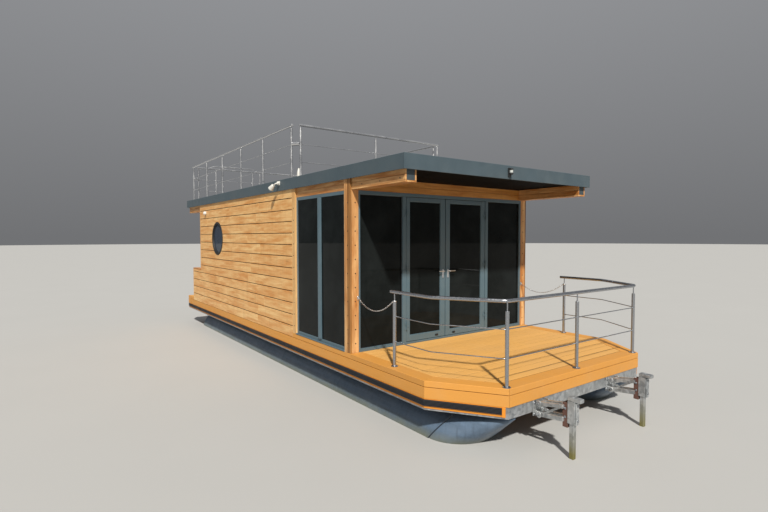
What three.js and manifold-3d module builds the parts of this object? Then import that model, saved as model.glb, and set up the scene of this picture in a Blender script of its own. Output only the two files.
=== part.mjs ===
// A houseboat: a timber-clad cabin with a flat roof terrace on two round floats.
// Millimetres. +X is forward to the bow, +Y is port, +Z is up.
// The origin is amidships on the centre line, at the waterline.
import * as THREE from 'three';
import * as BufferGeometryUtils from 'three/addons/utils/BufferGeometryUtils.js';
import Module from 'manifold-3d';

const wasm = await Module();
wasm.setup();

// Driving sizes
const FIT = 0.3;              // gap between pieces that touch
const RUN = 6;                // running gap round a moving leaf
const LENGTH = 10500;         // deck, stern to bow
const BEAM = 3700;            // deck, side to side
const DECK = 720;             // deck top above the water
const CHAMFER_X = 755;        // bow corner cut, along the side
const CHAMFER_Y = 515;        // bow corner cut, along the front
const FASCIA_HEIGHT = 197;
const FASCIA_UPPER = 67;      // the upper of its two boards
const BOARD = 30;             // deck board thickness
const SKIN = 28;              // edge boards and the cladding that laps over the floor's edge
const FRAME_HEIGHT = 130;     // steel deck frame

// Lengths along the boat, measured aft from the bow edge
const FOREDECK = 2270;        // to the front of the corner posts
const WINDOW_AFT = 3926;      // aft edge of the side window
const CABIN_AFT = 9302;
const SCREEN_AFT = 9989;
const ROOF_FRONT = 1073;
const ROOF_STERN = 10398;

// Heights above the deck top
const BEAM_BOTTOM = 2213;     // underside of the side beams and the header
const FASCIA_BOTTOM = 2355;   // roof fascia
const SOFFIT = 2386;
const ROOF_BOTTOM = 2400;
const ROOF_TOP = 2538;

// Floats
const FLOAT_RADIUS = 480;
const FLOAT_Y = 1225;
const FLOAT_SIDES = 24;
const FLOAT_STERN = 9700;     // aft from the bow edge

// Cabin
const WALL = 150;
const POST_X = 150;
const POST_Y = 139;
const SIDE_BEAM = 200;
const ROOF_HALF = 1879;
const FLASHING = 25;
const SCREEN_TOP = 778;       // above the deck top

const half = BEAM / 2;
const bow = LENGTH / 2;
const stern = -LENGTH / 2;
const frameTop = DECK - FASCIA_HEIGHT;
const frameBottom = frameTop - FRAME_HEIGHT;
const boardBottom = DECK - BOARD;
const postFront = bow - FOREDECK;
const postAft = postFront - POST_X;
const windowAft = bow - WINDOW_AFT;
const cabinAft = bow - CABIN_AFT;
const screenAft = bow - SCREEN_AFT;
const roofFront = bow - ROOF_FRONT;
const roofStern = bow - ROOF_STERN;
const beamBottom = DECK + BEAM_BOTTOM;
const soffit = DECK + SOFFIT;
const roofBottom = DECK + ROOF_BOTTOM;
const roofTop = DECK + ROOF_TOP;
const postInner = half - POST_Y;
const wallInner = half - WALL;

// Finishes: colour, roughness, metalness
const finishes = {
  cladding: [0xc98f55, 0.6, 0],
  timber: [0xd09a5e, 0.6, 0],
  decking: [0xc88d4c, 0.65, 0],
  float: [0x6f7d8f, 0.45, 0],
  galvanised: [0xa9adb0, 0.45, 0.8],
  anthracite: [0x4a545e, 0.45, 0.4],
  frame: [0x66747f, 0.4, 0.3],
  glass: [0x1c2426, 0.06, 0],
  rubber: [0x1f2123, 0.8, 0],
  steel: [0xb9bcbf, 0.25, 0.9],
  soffit: [0x3b3a3c, 0.6, 0],
  interior: [0xd9d2c4, 0.8, 0],
  lamp: [0xe6e6e2, 0.4, 0],
};

const houseboat = new THREE.Group();

// Meshes and solids
function solidOf(geometry) {
  const bare = geometry.clone();
  bare.deleteAttribute('normal');
  bare.deleteAttribute('uv');
  const merged = BufferGeometryUtils.mergeVertices(bare, 1e-3);
  const corners = merged.index.array;
  const kept = [];
  for (let i = 0; i < corners.length; i += 3) {
    const [a, b, c] = [corners[i], corners[i + 1], corners[i + 2]];
    if (a !== b && b !== c && c !== a) kept.push(a, b, c);
  }
  return new wasm.Manifold(new wasm.Mesh({
    numProp: 3,
    vertProperties: new Float32Array(merged.attributes.position.array),
    triVerts: new Uint32Array(kept),
  }));
}

function join(...solids) {
  return solids.flat(2).reduce((whole, solid) => whole.add(solid));
}

function cut(solid, ...tools) {
  return tools.flat().reduce((rest, tool) => rest.subtract(tool), solid);
}

function addPart(name, solid, finish) {
  const mesh = solid.getMesh();
  const geometry = new THREE.BufferGeometry();
  const places = new THREE.BufferAttribute(new Float32Array(mesh.vertProperties), 3);
  geometry.setAttribute('position', places);
  geometry.setIndex(new THREE.BufferAttribute(new Uint32Array(mesh.triVerts), 1));
  geometry.computeVertexNormals();
  const [color, roughness, metalness] = finishes[finish];
  const material = new THREE.MeshStandardMaterial({ color, roughness, metalness });
  const part = new THREE.Mesh(geometry, material);
  part.name = name;
  houseboat.add(part);
  return part;
}

// Primitive solids
function box(x0, x1, y0, y1, z0, z1) {
  const geometry = new THREE.BoxGeometry(x1 - x0, y1 - y0, z1 - z0);
  return solidOf(geometry.translate((x0 + x1) / 2, (y0 + y1) / 2, (z0 + z1) / 2));
}

function plate(outline, z0, z1) {
  const shape = new THREE.Shape(outline.map(([x, y]) => new THREE.Vector2(x, y)));
  const geometry = new THREE.ExtrudeGeometry(shape, { depth: z1 - z0, bevelEnabled: false });
  return solidOf(geometry.translate(0, 0, z0));
}

function rod(from, to, radius, sides = 10) {
  const start = new THREE.Vector3(...from);
  const end = new THREE.Vector3(...to);
  const along = end.clone().sub(start);
  const geometry = new THREE.CylinderGeometry(radius, radius, along.length(), sides);
  const up = new THREE.Vector3(0, 1, 0);
  geometry.applyQuaternion(new THREE.Quaternion().setFromUnitVectors(up, along.normalize()));
  geometry.translate(...start.add(end).multiplyScalar(0.5).toArray());
  return solidOf(geometry);
}

// A closed solid through like rings, the first below and the last on top,
// each ring clockwise seen from the last
function ringsSolid(rings) {
  const count = rings[0].length;
  const places = rings.flat(2);
  const faces = [];
  for (let i = 0; i + 1 < rings.length; i += 1) {
    for (let j = 0; j < count; j += 1) {
      const a = i * count + j;
      const b = i * count + ((j + 1) % count);
      faces.push(a, b + count, b, a, a + count, b + count);
    }
  }
  const top = (rings.length - 1) * count;
  for (let j = 1; j + 1 < count; j += 1) {
    faces.push(0, j, j + 1, top, top + j + 1, top + j);
  }
  const geometry = new THREE.BufferGeometry();
  geometry.setAttribute('position', new THREE.BufferAttribute(new Float32Array(places), 3));
  geometry.setIndex(faces);
  return solidOf(geometry);
}

// A round bar along a line of points, mitred at each bend
function bar(points, radius, sides = 10) {
  const stops = points.map((point) => new THREE.Vector3(...point));
  const ways = stops.slice(1).map((stop, i) => stop.clone().sub(stops[i]).normalize());
  const across = new THREE.Vector3(0, 0, 1);
  if (Math.abs(ways[0].z) > 0.9) across.set(1, 0, 0);
  const u = across.cross(ways[0]).normalize();
  const v = new THREE.Vector3().crossVectors(ways[0], u);
  let offsets = Array.from({ length: sides }, (_, i) => {
    const angle = (-2 * Math.PI * (i + 0.5)) / sides;
    return u.clone().multiplyScalar(radius * Math.cos(angle))
      .addScaledVector(v, radius * Math.sin(angle));
  });
  const rings = stops.map((stop, i) => {
    const before = ways[Math.max(i - 1, 0)];
    const after = ways[Math.min(i, ways.length - 1)];
    const normal = before.clone().add(after).normalize();
    const ring = offsets.map((offset) => offset.clone()
      .addScaledVector(before, -offset.dot(normal) / before.dot(normal)));
    offsets = ring.map((offset) => offset.clone().addScaledVector(after, -offset.dot(after)));
    return ring.map((offset) => offset.add(stop).toArray());
  });
  return ringsSolid(rings);
}

// Points along a cord that sags in a parabola between two ends
function sagging(from, to, sag, steps) {
  const points = [];
  for (let i = 0; i <= steps; i += 1) {
    const t = i / steps;
    const drop = 4 * sag * t * (1 - t);
    points.push([
      from[0] + (to[0] - from[0]) * t,
      from[1] + (to[1] - from[1]) * t,
      from[2] + (to[2] - from[2]) * t - drop,
    ]);
  }
  return points;
}

// Mirror a solid from starboard to port
function mirrored(solid) {
  return solid.mirror([0, 1, 0]);
}

function addPair(stem, solid, finish) {
  addPart(`${stem}_starboard`, solid, finish);
  addPart(`${stem}_port`, mirrored(solid), finish);
}

// Deck outline from one station to the bow, moved inwards by an inset
function bowOutline(x0, inset) {
  const normal = new THREE.Vector2(CHAMFER_Y, CHAMFER_X).normalize();
  const reach = normal.x * bow + normal.y * (half - CHAMFER_Y) - inset;
  const side = half - inset;
  const front = bow - inset;
  const bendX = (reach - normal.y * side) / normal.x;
  const cornerY = (reach - normal.x * front) / normal.y;
  return [
    [x0, -side], [bendX, -side], [front, -cornerY],
    [front, cornerY], [bendX, side], [x0, side],
  ];
}

function bowRing(x0, outer, inner, z0, z1) {
  const tool = plate(bowOutline(x0 - 100, inner), z0 - 10, z1 + 10);
  return cut(plate(bowOutline(x0, outer), z0, z1), tool);
}

// Floats: a round tube whose bow is a spoon between a raked seam and the stem
const floatTop = frameBottom - FIT;
const floatZ = floatTop - FLOAT_RADIUS * Math.cos(Math.PI / FLOAT_SIDES);
const seamAtWater = bow - 873;
const SEAM_RAKE = 0.77;       // forward per unit up
const stemAtWater = bow - 432;
const STEM_RAKE = 1.11;

function floatSolid() {
  const noseSteps = 10;
  const rings = [];
  const halfSides = FLOAT_SIDES / 2;
  for (let i = 0; i < halfSides; i += 1) {
    const angle = ((i + 0.5) * Math.PI) / halfSides;
    const z = floatZ - FLOAT_RADIUS * Math.cos(angle);
    const width = FLOAT_RADIUS * Math.sin(angle);
    const seam = seamAtWater + SEAM_RAKE * z;
    const stem = stemAtWater + STEM_RAKE * z;
    const ring = [[bow - FLOAT_STERN, width, z]];
    for (let j = 0; j <= noseSteps; j += 1) {
      const turn = (j * Math.PI) / noseSteps;
      ring.push([seam + (stem - seam) * Math.sin(turn), width * Math.cos(turn), z]);
    }
    ring.push([bow - FLOAT_STERN, -width, z]);
    rings.push(ring);
  }
  return ringsSolid(rings).translate([0, -FLOAT_Y, 0]);
}

addPair('float', floatSolid(), 'float');

// Steel deck frame: a rim, a bearer over each float and cross beams
const RIM = 70;
const BEARER = 90;
const CROSS = 60;
const CROSS_BEAMS = 9;
const rim = cut(
  plate(bowOutline(stern + 12, 12), frameBottom + 3, frameTop - FIT),
  plate(bowOutline(stern + RIM, RIM), frameBottom - 10, frameTop + 10),
);
const bearers = [-1, 1].map((side) => box(
  stern + RIM / 2, bow - RIM / 2, side * FLOAT_Y - BEARER / 2, side * FLOAT_Y + BEARER / 2,
  frameBottom, frameTop - 1,
));
const crossBeams = [];
for (let i = 1; i <= CROSS_BEAMS; i += 1) {
  const x = stern + (i * LENGTH) / (CROSS_BEAMS + 1);
  const y = half - RIM / 2;
  crossBeams.push(box(x - CROSS / 2, x + CROSS / 2, -y, y, frameBottom + 40, frameTop - 2));
}
addPart('deck_frame', join(rim, bearers, crossBeams), 'galvanised');

// Floor, decks and their edge boards
const fasciaAft = windowAft - 121;
const floorOutline = bowOutline(stern + SKIN + FIT, SKIN + FIT);
addPart('floor_panel', plate(floorOutline, frameTop, boardBottom - FIT), 'timber');
const BORDER = 190;           // edge board of the foredeck, with a groove inside it
const BORDER_GROOVE = 5;
const fieldAft = postFront + 10;
const borderGroove = cut(
  plate(bowOutline(fieldAft, BORDER), DECK - BORDER_GROOVE, DECK + 10),
  plate(bowOutline(fieldAft + BORDER_GROOVE, BORDER + BORDER_GROOVE), boardBottom, DECK + 20),
);
addPart('foredeck_boards', cut(
  plate(bowOutline(postAft + FIT, SKIN + FIT), boardBottom, DECK), borderGroove,
), 'decking');
addPart('cabin_floor', join(
  box(cabinAft + WALL + FIT, windowAft + 1, -wallInner + FIT, wallInner - FIT, boardBottom, DECK),
  box(windowAft + FIT, postAft - FIT, -half + SKIN + FIT, half - SKIN - FIT, boardBottom, DECK),
), 'interior');
addPart('aft_deck_boards', join(
  box(stern + SKIN + FIT, screenAft - FIT, -half + SKIN + FIT, half - SKIN - FIT, boardBottom, DECK),
  box(screenAft - 1, cabinAft - FIT, -wallInner + FIT, wallInner - FIT, boardBottom, DECK),
), 'decking');

const split = DECK - FASCIA_UPPER;
const GROOVE = 4;
const foot = frameTop;
addPart('bow_fascia', join(
  bowRing(fasciaAft, 0, SKIN, foot, split - GROOVE),
  bowRing(fasciaAft, 6, SKIN, split - GROOVE - 1, split + 1),
  bowRing(fasciaAft, 0, SKIN, split, DECK),
), 'decking');
addPart('stern_fascia', cut(
  box(stern, screenAft - FIT, -half, half, foot, DECK),
  box(stern + SKIN, screenAft + 10, -half + SKIN, half - SKIN, foot - 10, DECK + 10),
), 'decking');

// Fenders: a timber band below the edge boards and a rubber strip set on it
const FENDER_TIMBER = 12;
const FENDER_RUBBER = 10;
const fenderBottom = frameBottom + 22;
const rubberBottom = fenderBottom + 30;
const fenderAft = stern + 40;
function fenderStrip(outer, innerInset, z0, z1, trim) {
  const strip = bowRing(fenderAft, outer, innerInset, z0, z1);
  return cut(strip, box(bow - trim, bow + 50, -half - 50, half, z0 - 10, z1 + 10),
    box(fenderAft - 50, bow + 50, 0, half + 50, z0 - 10, z1 + 10));
}
addPair('fender_timber', fenderStrip(0, FENDER_TIMBER - FIT, fenderBottom, foot - FIT, 30), 'decking');
addPair('fender_rubber', fenderStrip(-FENDER_RUBBER, -FIT, rubberBottom, foot - 8, 60), 'rubber');

// Cabin walls
const PORTHOLE_X = bow - 7926;
const PORTHOLE_Z = DECK + 1544;
const PORTHOLE_RADIUS = 375;
const PORTHOLE_RIM = 45;
const holeRadius = PORTHOLE_RADIUS - 20;
const acrossWall = (outer, inner) => [[PORTHOLE_X, outer, PORTHOLE_Z], [PORTHOLE_X, inner, PORTHOLE_Z]];
const portholeTool = rod(...acrossWall(-half - 20, -wallInner + 20), holeRadius, 40);
const wallTop = beamBottom - FIT;
const coverTop = roofBottom - FIT;
addPair('wall', cut(join(
  box(cabinAft, fasciaAft - FIT, -half, -half + SKIN, foot, coverTop),
  box(cabinAft, windowAft - FIT, -half + SKIN + FIT, -wallInner, boardBottom, DECK + 1),
  box(cabinAft, windowAft - FIT, -half + SKIN - 1, -wallInner, DECK + FIT, wallTop),
  box(fasciaAft - 1, windowAft - FIT, -half, -half + SKIN, DECK + FIT, coverTop),
), portholeTool), 'cladding');

const DOORWAY_Y0 = 260;
const DOORWAY_Y1 = 1140;
const DOORWAY_TOP = DECK + 2060;
const beamInner = half - SIDE_BEAM - FIT;
const aftWall = cut(
  join(
    box(cabinAft, cabinAft + WALL, -wallInner + FIT, wallInner - FIT, boardBottom, wallTop),
    box(cabinAft, cabinAft + WALL, -beamInner, beamInner, wallTop - 1, soffit - FIT),
  ),
  box(cabinAft - 10, cabinAft + WALL + 10, DOORWAY_Y0, DOORWAY_Y1, DECK, DOORWAY_TOP),
);

addPair('aft_screen', join(
  box(screenAft, cabinAft - FIT, -half, -half + SKIN, foot, DECK + SCREEN_TOP),
  box(screenAft, cabinAft - FIT, -half + SKIN - 1, -wallInner, boardBottom, DECK + SCREEN_TOP),
), 'cladding');

// Portholes: a flanged rim through the wall, and its glass
const ringOuter = rod(...acrossWall(-half - 12, -half - FIT), PORTHOLE_RADIUS, 40);
const ringBody = rod(...acrossWall(-half - 5, -wallInner + 5), holeRadius - FIT, 40);
const ringHole = rod([PORTHOLE_X, -half - 30, PORTHOLE_Z], [PORTHOLE_X, -wallInner + 30, PORTHOLE_Z],
  PORTHOLE_RADIUS - PORTHOLE_RIM, 40);
addPair('porthole_rim', cut(join(ringOuter, ringBody), ringHole), 'anthracite');
addPair('porthole_glass', rod([PORTHOLE_X, -half + 20, PORTHOLE_Z], [PORTHOLE_X, -half + 44, PORTHOLE_Z],
  PORTHOLE_RADIUS - PORTHOLE_RIM - FIT, 40), 'glass');

// Corner posts, side beams and the header over the glazing
addPair('corner_post', join(
  box(postAft, postFront, -half, -postInner, DECK + FIT, wallTop),
  box(postAft, postFront, -half, -half + SKIN, wallTop - 1, coverTop),
), 'timber');
const beamFront = roofFront - 50;
const beamStern = roofStern + 50;
addPair('side_beam', box(
  beamStern, beamFront, -half + SKIN + FIT, -half + SIDE_BEAM, beamBottom, roofBottom - FIT,
), 'timber');
addPart('header_beam', box(
  postAft, postFront, -beamInner, beamInner, beamBottom, soffit - FIT,
), 'timber');

// Roof
addPart('ceiling_panel', box(
  roofStern + FLASHING + FIT, roofFront - FLASHING - FIT,
  -beamInner, beamInner, soffit, roofBottom - FIT,
), 'soffit');
const roofBase = roofTop - 12;
const ROOF_GROOVE_X = 1300;   // between the terrace and the free front of the roof
addPart('roof_deck', cut(
  box(
    roofStern + FLASHING + FIT, roofFront - FLASHING - FIT,
    -ROOF_HALF + FLASHING + FIT, ROOF_HALF - FLASHING - FIT, roofBottom, roofBase,
  ),
  box(ROOF_GROOVE_X - 3, ROOF_GROOVE_X + 3, -ROOF_HALF, ROOF_HALF, roofBase - 5, roofTop),
), 'anthracite');
addPart('roof_fascia', cut(
  box(roofStern, roofFront, -ROOF_HALF, ROOF_HALF, DECK + FASCIA_BOTTOM, roofTop),
  box(roofStern + FLASHING, roofFront - FLASHING, -ROOF_HALF + FLASHING, ROOF_HALF - FLASHING,
    DECK + FASCIA_BOTTOM - 10, roofTop + 10),
), 'anthracite');

// Framed glazing: a frame with rectangular lights, and their panes
const GLASS = 24;
const SASH = 50;
function sideWindow() {
  const y0 = -half + 8;
  const y1 = y0 + 70;
  const x0 = windowAft;
  const x1 = postAft - FIT;
  const mullion = [bow - 3193, bow - 3101];
  const lights = [[x0 + SASH, mullion[0]], [mullion[1], x1 - SASH]];
  const z0 = DECK + FIT;
  const z1 = wallTop;
  const tools = lights.map(([a, b]) => box(a, b, y0 - 10, y1 + 10, z0 + 60, z1 - SASH));
  const paneY = (y0 + y1) / 2;
  const pane = (gap) => box(
    x0 + SASH + gap, x1 - SASH - gap, paneY - GLASS / 2 + gap - FIT, paneY + GLASS / 2 - gap + FIT,
    z0 + 60 + gap, z1 - SASH - gap,
  );
  return { frame: cut(box(x0, x1, y0, y1, z0, z1), tools, pane(0)), pane: pane(FIT) };
}
const sideLights = sideWindow();
addPair('window_frame', sideLights.frame, 'frame');
addPair('window_glass', sideLights.pane, 'glass');

// Barrel hinges: on a face that looks out along X (1 forward, -1 aft), with the leaf
// towards Y (1 port, -1 starboard) from the pin
const PIN_OUT = 10;           // pin ahead of the frame's face
const LEAF_BACK = 4;          // leaf's face behind the frame's
const KNUCKLE = 8;
const KNUCKLE_HEIGHT = 40;
const HINGE_LEVELS = [DECK + 250, DECK + 1100, DECK + 1900];
function hinges(faceX, pinY, out, towards) {
  const pinX = faceX + out * PIN_OUT;
  const sorted = (a, b) => (a < b ? [a, b] : [b, a]);
  const knuckle = (z0, z1, back, front, side) => {
    const [x0, x1] = sorted(faceX + out * back, faceX + out * front);
    const [y0, y1] = sorted(pinY, pinY + side * 45);
    return [rod([pinX, pinY, z0], [pinX, pinY, z1], KNUCKLE, 8), box(x0, x1, y0, y1, z0, z1)];
  };
  const h = KNUCKLE_HEIGHT;
  return {
    leaf: HINGE_LEVELS.flatMap((z) => knuckle(z, z + h, -LEAF_BACK - 1, 4, towards)),
    frame: HINGE_LEVELS.flatMap((z) => [
      knuckle(z - h, z - FIT, -1, 4, -towards),
      knuckle(z + h + FIT, z + 2 * h, -1, 4, -towards),
    ].flat()),
  };
}

// Front glazing: two fixed lights and a pair of door leaves that open outwards
const glazingFront = postFront - 5;
const glazingAft = glazingFront - 80;
const frameEdge = postInner - FIT;
const DOOR_STARBOARD = -878;  // edges of the doorway
const DOOR_PORT = 800;
const JAMB = 65;
const MEETING = -97;          // where the two leaves meet
const MEETING_GAP = 13;
const THRESHOLD = 30;
const glazingBottom = DECK + FIT;
const glazingTop = wallTop;
const doorTop = glazingTop - SASH;
const fixedLights = [
  [-frameEdge + 30, DOOR_STARBOARD - JAMB],
  [DOOR_PORT + JAMB, frameEdge - 30],
];
const lightBottom = glazingBottom + 40;
const leafHinges = {
  starboard: hinges(glazingFront, DOOR_STARBOARD + RUN / 2, 1, 1),
  port: hinges(glazingFront, DOOR_PORT - RUN / 2, 1, -1),
};
addPart('front_frame', join(
  cut(
    box(glazingAft, glazingFront, -frameEdge, frameEdge, glazingBottom, glazingTop),
    fixedLights.map(([a, b]) => box(glazingAft - 10, glazingFront + 10, a, b, lightBottom, doorTop)),
    box(glazingAft - 10, glazingFront + 10, DOOR_STARBOARD, DOOR_PORT, glazingBottom + THRESHOLD, doorTop),
  ),
  leafHinges.starboard.frame,
  leafHinges.port.frame,
), 'frame');
['starboard', 'port'].forEach((side, i) => {
  const [a, b] = fixedLights[i];
  addPart(`front_pane_${side}`, box(
    glazingFront - 60, glazingFront - 60 + GLASS, a + FIT, b - FIT, lightBottom + FIT, doorTop - FIT,
  ), 'glass');
});

// A leaf lies between two sides a and b; its handle is on the edge near the meeting
const LEAF = 56;
const leafFront = glazingFront - LEAF_BACK;
const leafBottom = glazingBottom + THRESHOLD + RUN;
const leafTop = doorTop - RUN;
const HANDLE_Z = DECK + 1050;
function doorLeaf(hingeY, meetY, stile, handleStile) {
  const inwards = Math.sign(meetY - hingeY);
  const [y0, y1] = inwards > 0 ? [hingeY, meetY] : [meetY, hingeY];
  const light = inwards > 0 ? [y0 + stile, y1 - handleStile] : [y0 + handleStile, y1 - stile];
  const x1 = leafFront;
  const x0 = leafFront - LEAF;
  const lightZ = [leafBottom + 90, leafTop - 60];
  const handleY = meetY - inwards * handleStile * 0.5;
  const lever = [x1 + 48, handleY - inwards * 115, HANDLE_Z];
  const frame = join(
    cut(
      box(x0, x1, y0, y1, leafBottom, leafTop),
      box(x0 - 10, x1 + 10, light[0], light[1], lightZ[0], lightZ[1]),
    ),
    box(x1 - 1, x1 + 9, handleY - 16, handleY + 16, HANDLE_Z - 105, HANDLE_Z + 25),
    bar([[x1 + 2, handleY, HANDLE_Z], [x1 + 48, handleY, HANDLE_Z], lever], 10),
  );
  const glassX = (x0 + x1) / 2;
  const pane = box(
    glassX - GLASS / 2, glassX + GLASS / 2, light[0] + FIT, light[1] - FIT, lightZ[0] + FIT, lightZ[1] - FIT,
  );
  return { frame, pane };
}
const leaves = {
  starboard: doorLeaf(DOOR_STARBOARD + RUN, MEETING - MEETING_GAP / 2, 66, 96),
  port: doorLeaf(DOOR_PORT - RUN, MEETING + MEETING_GAP / 2, 94, 90),
};
for (const [side, leaf] of Object.entries(leaves)) {
  addPart(`door_${side}`, join(leaf.frame, leafHinges[side].leaf), 'frame');
  addPart(`door_glass_${side}`, leaf.pane, 'glass');
}

// Aft door: a solid leaf with a light, opening aft
const AFT_LEAF = 56;
const aftLeafX = cabinAft + LEAF_BACK;
const aftHinges = hinges(cabinAft, DOORWAY_Y1 - RUN / 2, -1, -1);
addPart('wall_aft', join(aftWall, aftHinges.frame), 'cladding');
const aftY = [DOORWAY_Y0 + RUN, DOORWAY_Y1 - RUN];
const aftZ = [DECK + RUN + 4, DOORWAY_TOP - RUN];
const aftHandleY = aftY[0] + 50;
const aftLight = [aftY[0] + 130, aftY[1] - 130, aftZ[0] + 1000, aftZ[1] - 140];
addPart('aft_door', join(
  cut(
    box(aftLeafX, aftLeafX + AFT_LEAF, aftY[0], aftY[1], aftZ[0], aftZ[1]),
    box(aftLeafX - 10, aftLeafX + AFT_LEAF + 10, aftLight[0], aftLight[1], aftLight[2], aftLight[3]),
  ),
  box(aftLeafX - 9, aftLeafX + 1, aftHandleY - 16, aftHandleY + 16, HANDLE_Z - 105, HANDLE_Z + 25),
  bar([[aftLeafX - 2, aftHandleY, HANDLE_Z], [aftLeafX - 48, aftHandleY, HANDLE_Z],
    [aftLeafX - 48, aftHandleY + 115, HANDLE_Z]], 10),
  aftHinges.leaf,
), 'frame');
addPart('aft_door_glass', box(
  aftLeafX + 18, aftLeafX + 18 + GLASS,
  aftLight[0] + FIT, aftLight[1] - FIT, aftLight[2] + FIT, aftLight[3] - FIT,
), 'glass');

// Rails: round posts on flanges, a thin pin under the handrail, and thin rods between
const POST_RADIUS = 21;
const PIN_RADIUS = 8;
const ROD_RADIUS = 6;
const FLANGE_RADIUS = 45;
function railPost([x, y], base, top, pin) {
  const shoulder = top - pin;
  return [
    rod([x, y, base], [x, y, base + 8], FLANGE_RADIUS, 16),
    rod([x, y, base + 4], [x, y, shoulder], POST_RADIUS, 12),
    rod([x, y, shoulder - 4], [x, y, top], PIN_RADIUS, 8),
  ];
}

// A handrail along a level line; the rods follow it from the first post to the last
function railSection({ line, posts, base, pin, rods }) {
  const top = line[0][2];
  const bends = line.slice(1, -1);
  const ends = [posts[0], posts[posts.length - 1]];
  return [
    bar(line, POST_RADIUS, 12),
    posts.map((post) => railPost(post, base + FIT, top, pin)),
    rods.map((z) => bar([ends[0], ...bends, ends[1]].map(([x, y]) => [x, y, z]), ROD_RADIUS, 6)),
  ].flat(2);
}

const RAIL_HEIGHT = 934;
const railZ = DECK + RAIL_HEIGHT - POST_RADIUS;
const railY = half - 100;
const railX = bow - 55;
const railCorner = 1325;
const railPostX = bow - 1418;
addPart('foredeck_rail', join(railSection({
  line: [
    [bow - 1492, -railY, railZ], [bow - 770, -railY, railZ], [railX, -railCorner, railZ],
    [railX, railCorner, railZ], [bow - 770, railY, railZ], [bow - 1492, railY, railZ],
  ],
  posts: [
    [railPostX, -railY], [railX, -railCorner + 12], [railX, -40],
    [railX, railCorner - 40], [railPostX, railY],
  ],
  base: DECK,
  pin: 105,
  rods: [DECK + 304, DECK + 615],
})), 'steel');

// Roof rail: four flat sections, tied to each other by a block at each corner
const ROOF_RAIL_HEIGHT = 890;
const ROOF_RAIL_Y = 1790;
const ROOF_RAIL_PORT = 1335;
const ROOF_RAIL_FRONT = 1215;
const ROOF_RAIL_STERN = -4880;
const SIDE_POSTS = [1087, -121, -1273, -2445, -3617, -4766];
const FRONT_POSTS = [-1685, -178, 1320];
const STERN_POSTS = [-1640, -1410, -1180, -155, 60, 1270];
const END = 62;               // handrail beyond its last post
const roofRailZ = roofTop + ROOF_RAIL_HEIGHT - POST_RADIUS;
const blockZ = roofRailZ - 300;
const roofRail = { base: roofBase, pin: 40, rods: [roofTop + 270, roofTop + 560] };
const blockBetween = (from, to) => {
  const way = new THREE.Vector2(to[0] - from[0], to[1] - from[1]);
  const reach = 1 - (POST_RADIUS + FIT) / way.length();
  return bar([[...from, blockZ], [from[0] + way.x * reach, from[1] + way.y * reach, blockZ]], 42, 4);
};
for (const [side, y] of Object.entries({ starboard: -ROOF_RAIL_Y, port: ROOF_RAIL_PORT })) {
  const corner = side === 'starboard' ? 0 : 1;
  const first = SIDE_POSTS[0];
  const last = SIDE_POSTS[SIDE_POSTS.length - 1];
  addPart(`roof_rail_${side}`, join(
    railSection({
      ...roofRail,
      line: [[first + END, y, roofRailZ], [last - END, y, roofRailZ]],
      posts: SIDE_POSTS.map((x) => [x, y]),
    }),
    blockBetween([first, y], [ROOF_RAIL_FRONT, FRONT_POSTS[corner * 2]]),
    blockBetween([last, y], [ROOF_RAIL_STERN, STERN_POSTS[corner * 5]]),
  ), 'steel');
}
const acrossSection = (x, posts) => railSection({
  ...roofRail,
  line: [[x, posts[0] - 25, roofRailZ], [x, posts[posts.length - 1] + 25, roofRailZ]],
  posts: posts.map((y) => [x, y]),
});
addPart('roof_rail_front', join(acrossSection(ROOF_RAIL_FRONT, FRONT_POSTS)), 'steel');
addPart('roof_rail_stern', join(
  acrossSection(ROOF_RAIL_STERN, STERN_POSTS),
  bar([
    [ROOF_RAIL_STERN, STERN_POSTS[1], roofRailZ], [ROOF_RAIL_STERN, STERN_POSTS[2], roofRailZ + 80],
    [ROOF_RAIL_STERN, STERN_POSTS[3], roofRailZ + 80], [ROOF_RAIL_STERN, STERN_POSTS[4], roofRailZ],
  ], 15, 10),
), 'steel');

// Gate chains from an eye on each corner post to the first rail post
function chain() {
  const eye = [postFront + FIT, -1722, DECK + 745];
  const end = [railPostX - POST_RADIUS - 5, -railY, DECK + 798];
  return join(
    box(eye[0], eye[0] + 8, eye[1] - 15, eye[1] + 15, eye[2] - 30, eye[2] + 30),
    bar(sagging([eye[0] + 6, eye[1], eye[2]], end, 148, 9), 6, 8),
  );
}
addPair('gate_chain', chain(), 'steel');

// Lamps and the vent cone
addPart('navigation_light', join(
  box(roofFront + FIT, roofFront + 25, -100, -45, DECK + 2385, DECK + 2505),
  rod([roofFront + 40, -72, DECK + 2420], [roofFront + 40, -72, DECK + 2490], 26, 12),
), 'rubber');
const FLOOD_X = bow - 4450;
addPart('floodlight', join(
  box(FLOOD_X - 30, FLOOD_X + 30, -ROOF_HALF - 12, -ROOF_HALF - FIT, DECK + 2450, DECK + 2520),
  rod([FLOOD_X, -ROOF_HALF - 8, DECK + 2480], [FLOOD_X - 60, -ROOF_HALF - 110, DECK + 2450], 14, 10),
  box(FLOOD_X - 190, FLOOD_X - 50, -ROOF_HALF - 150, -ROOF_HALF - 95, DECK + 2350, DECK + 2465),
), 'lamp');
const WALL_LAMP_X = bow - 8780;
const WALL_LAMP_Z = DECK + 2150;
addPart('wall_lamp', rod(
  [WALL_LAMP_X, -half - 70, WALL_LAMP_Z], [WALL_LAMP_X, -half - FIT, WALL_LAMP_Z], 45, 14,
), 'lamp');
const ventHeight = 200;
const vent = new THREE.ConeGeometry(45, ventHeight, 14).rotateX(Math.PI / 2);
addPart('roof_vent', solidOf(vent.translate(1090, -1660, roofBase + FIT + ventHeight / 2)), 'lamp');

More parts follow.
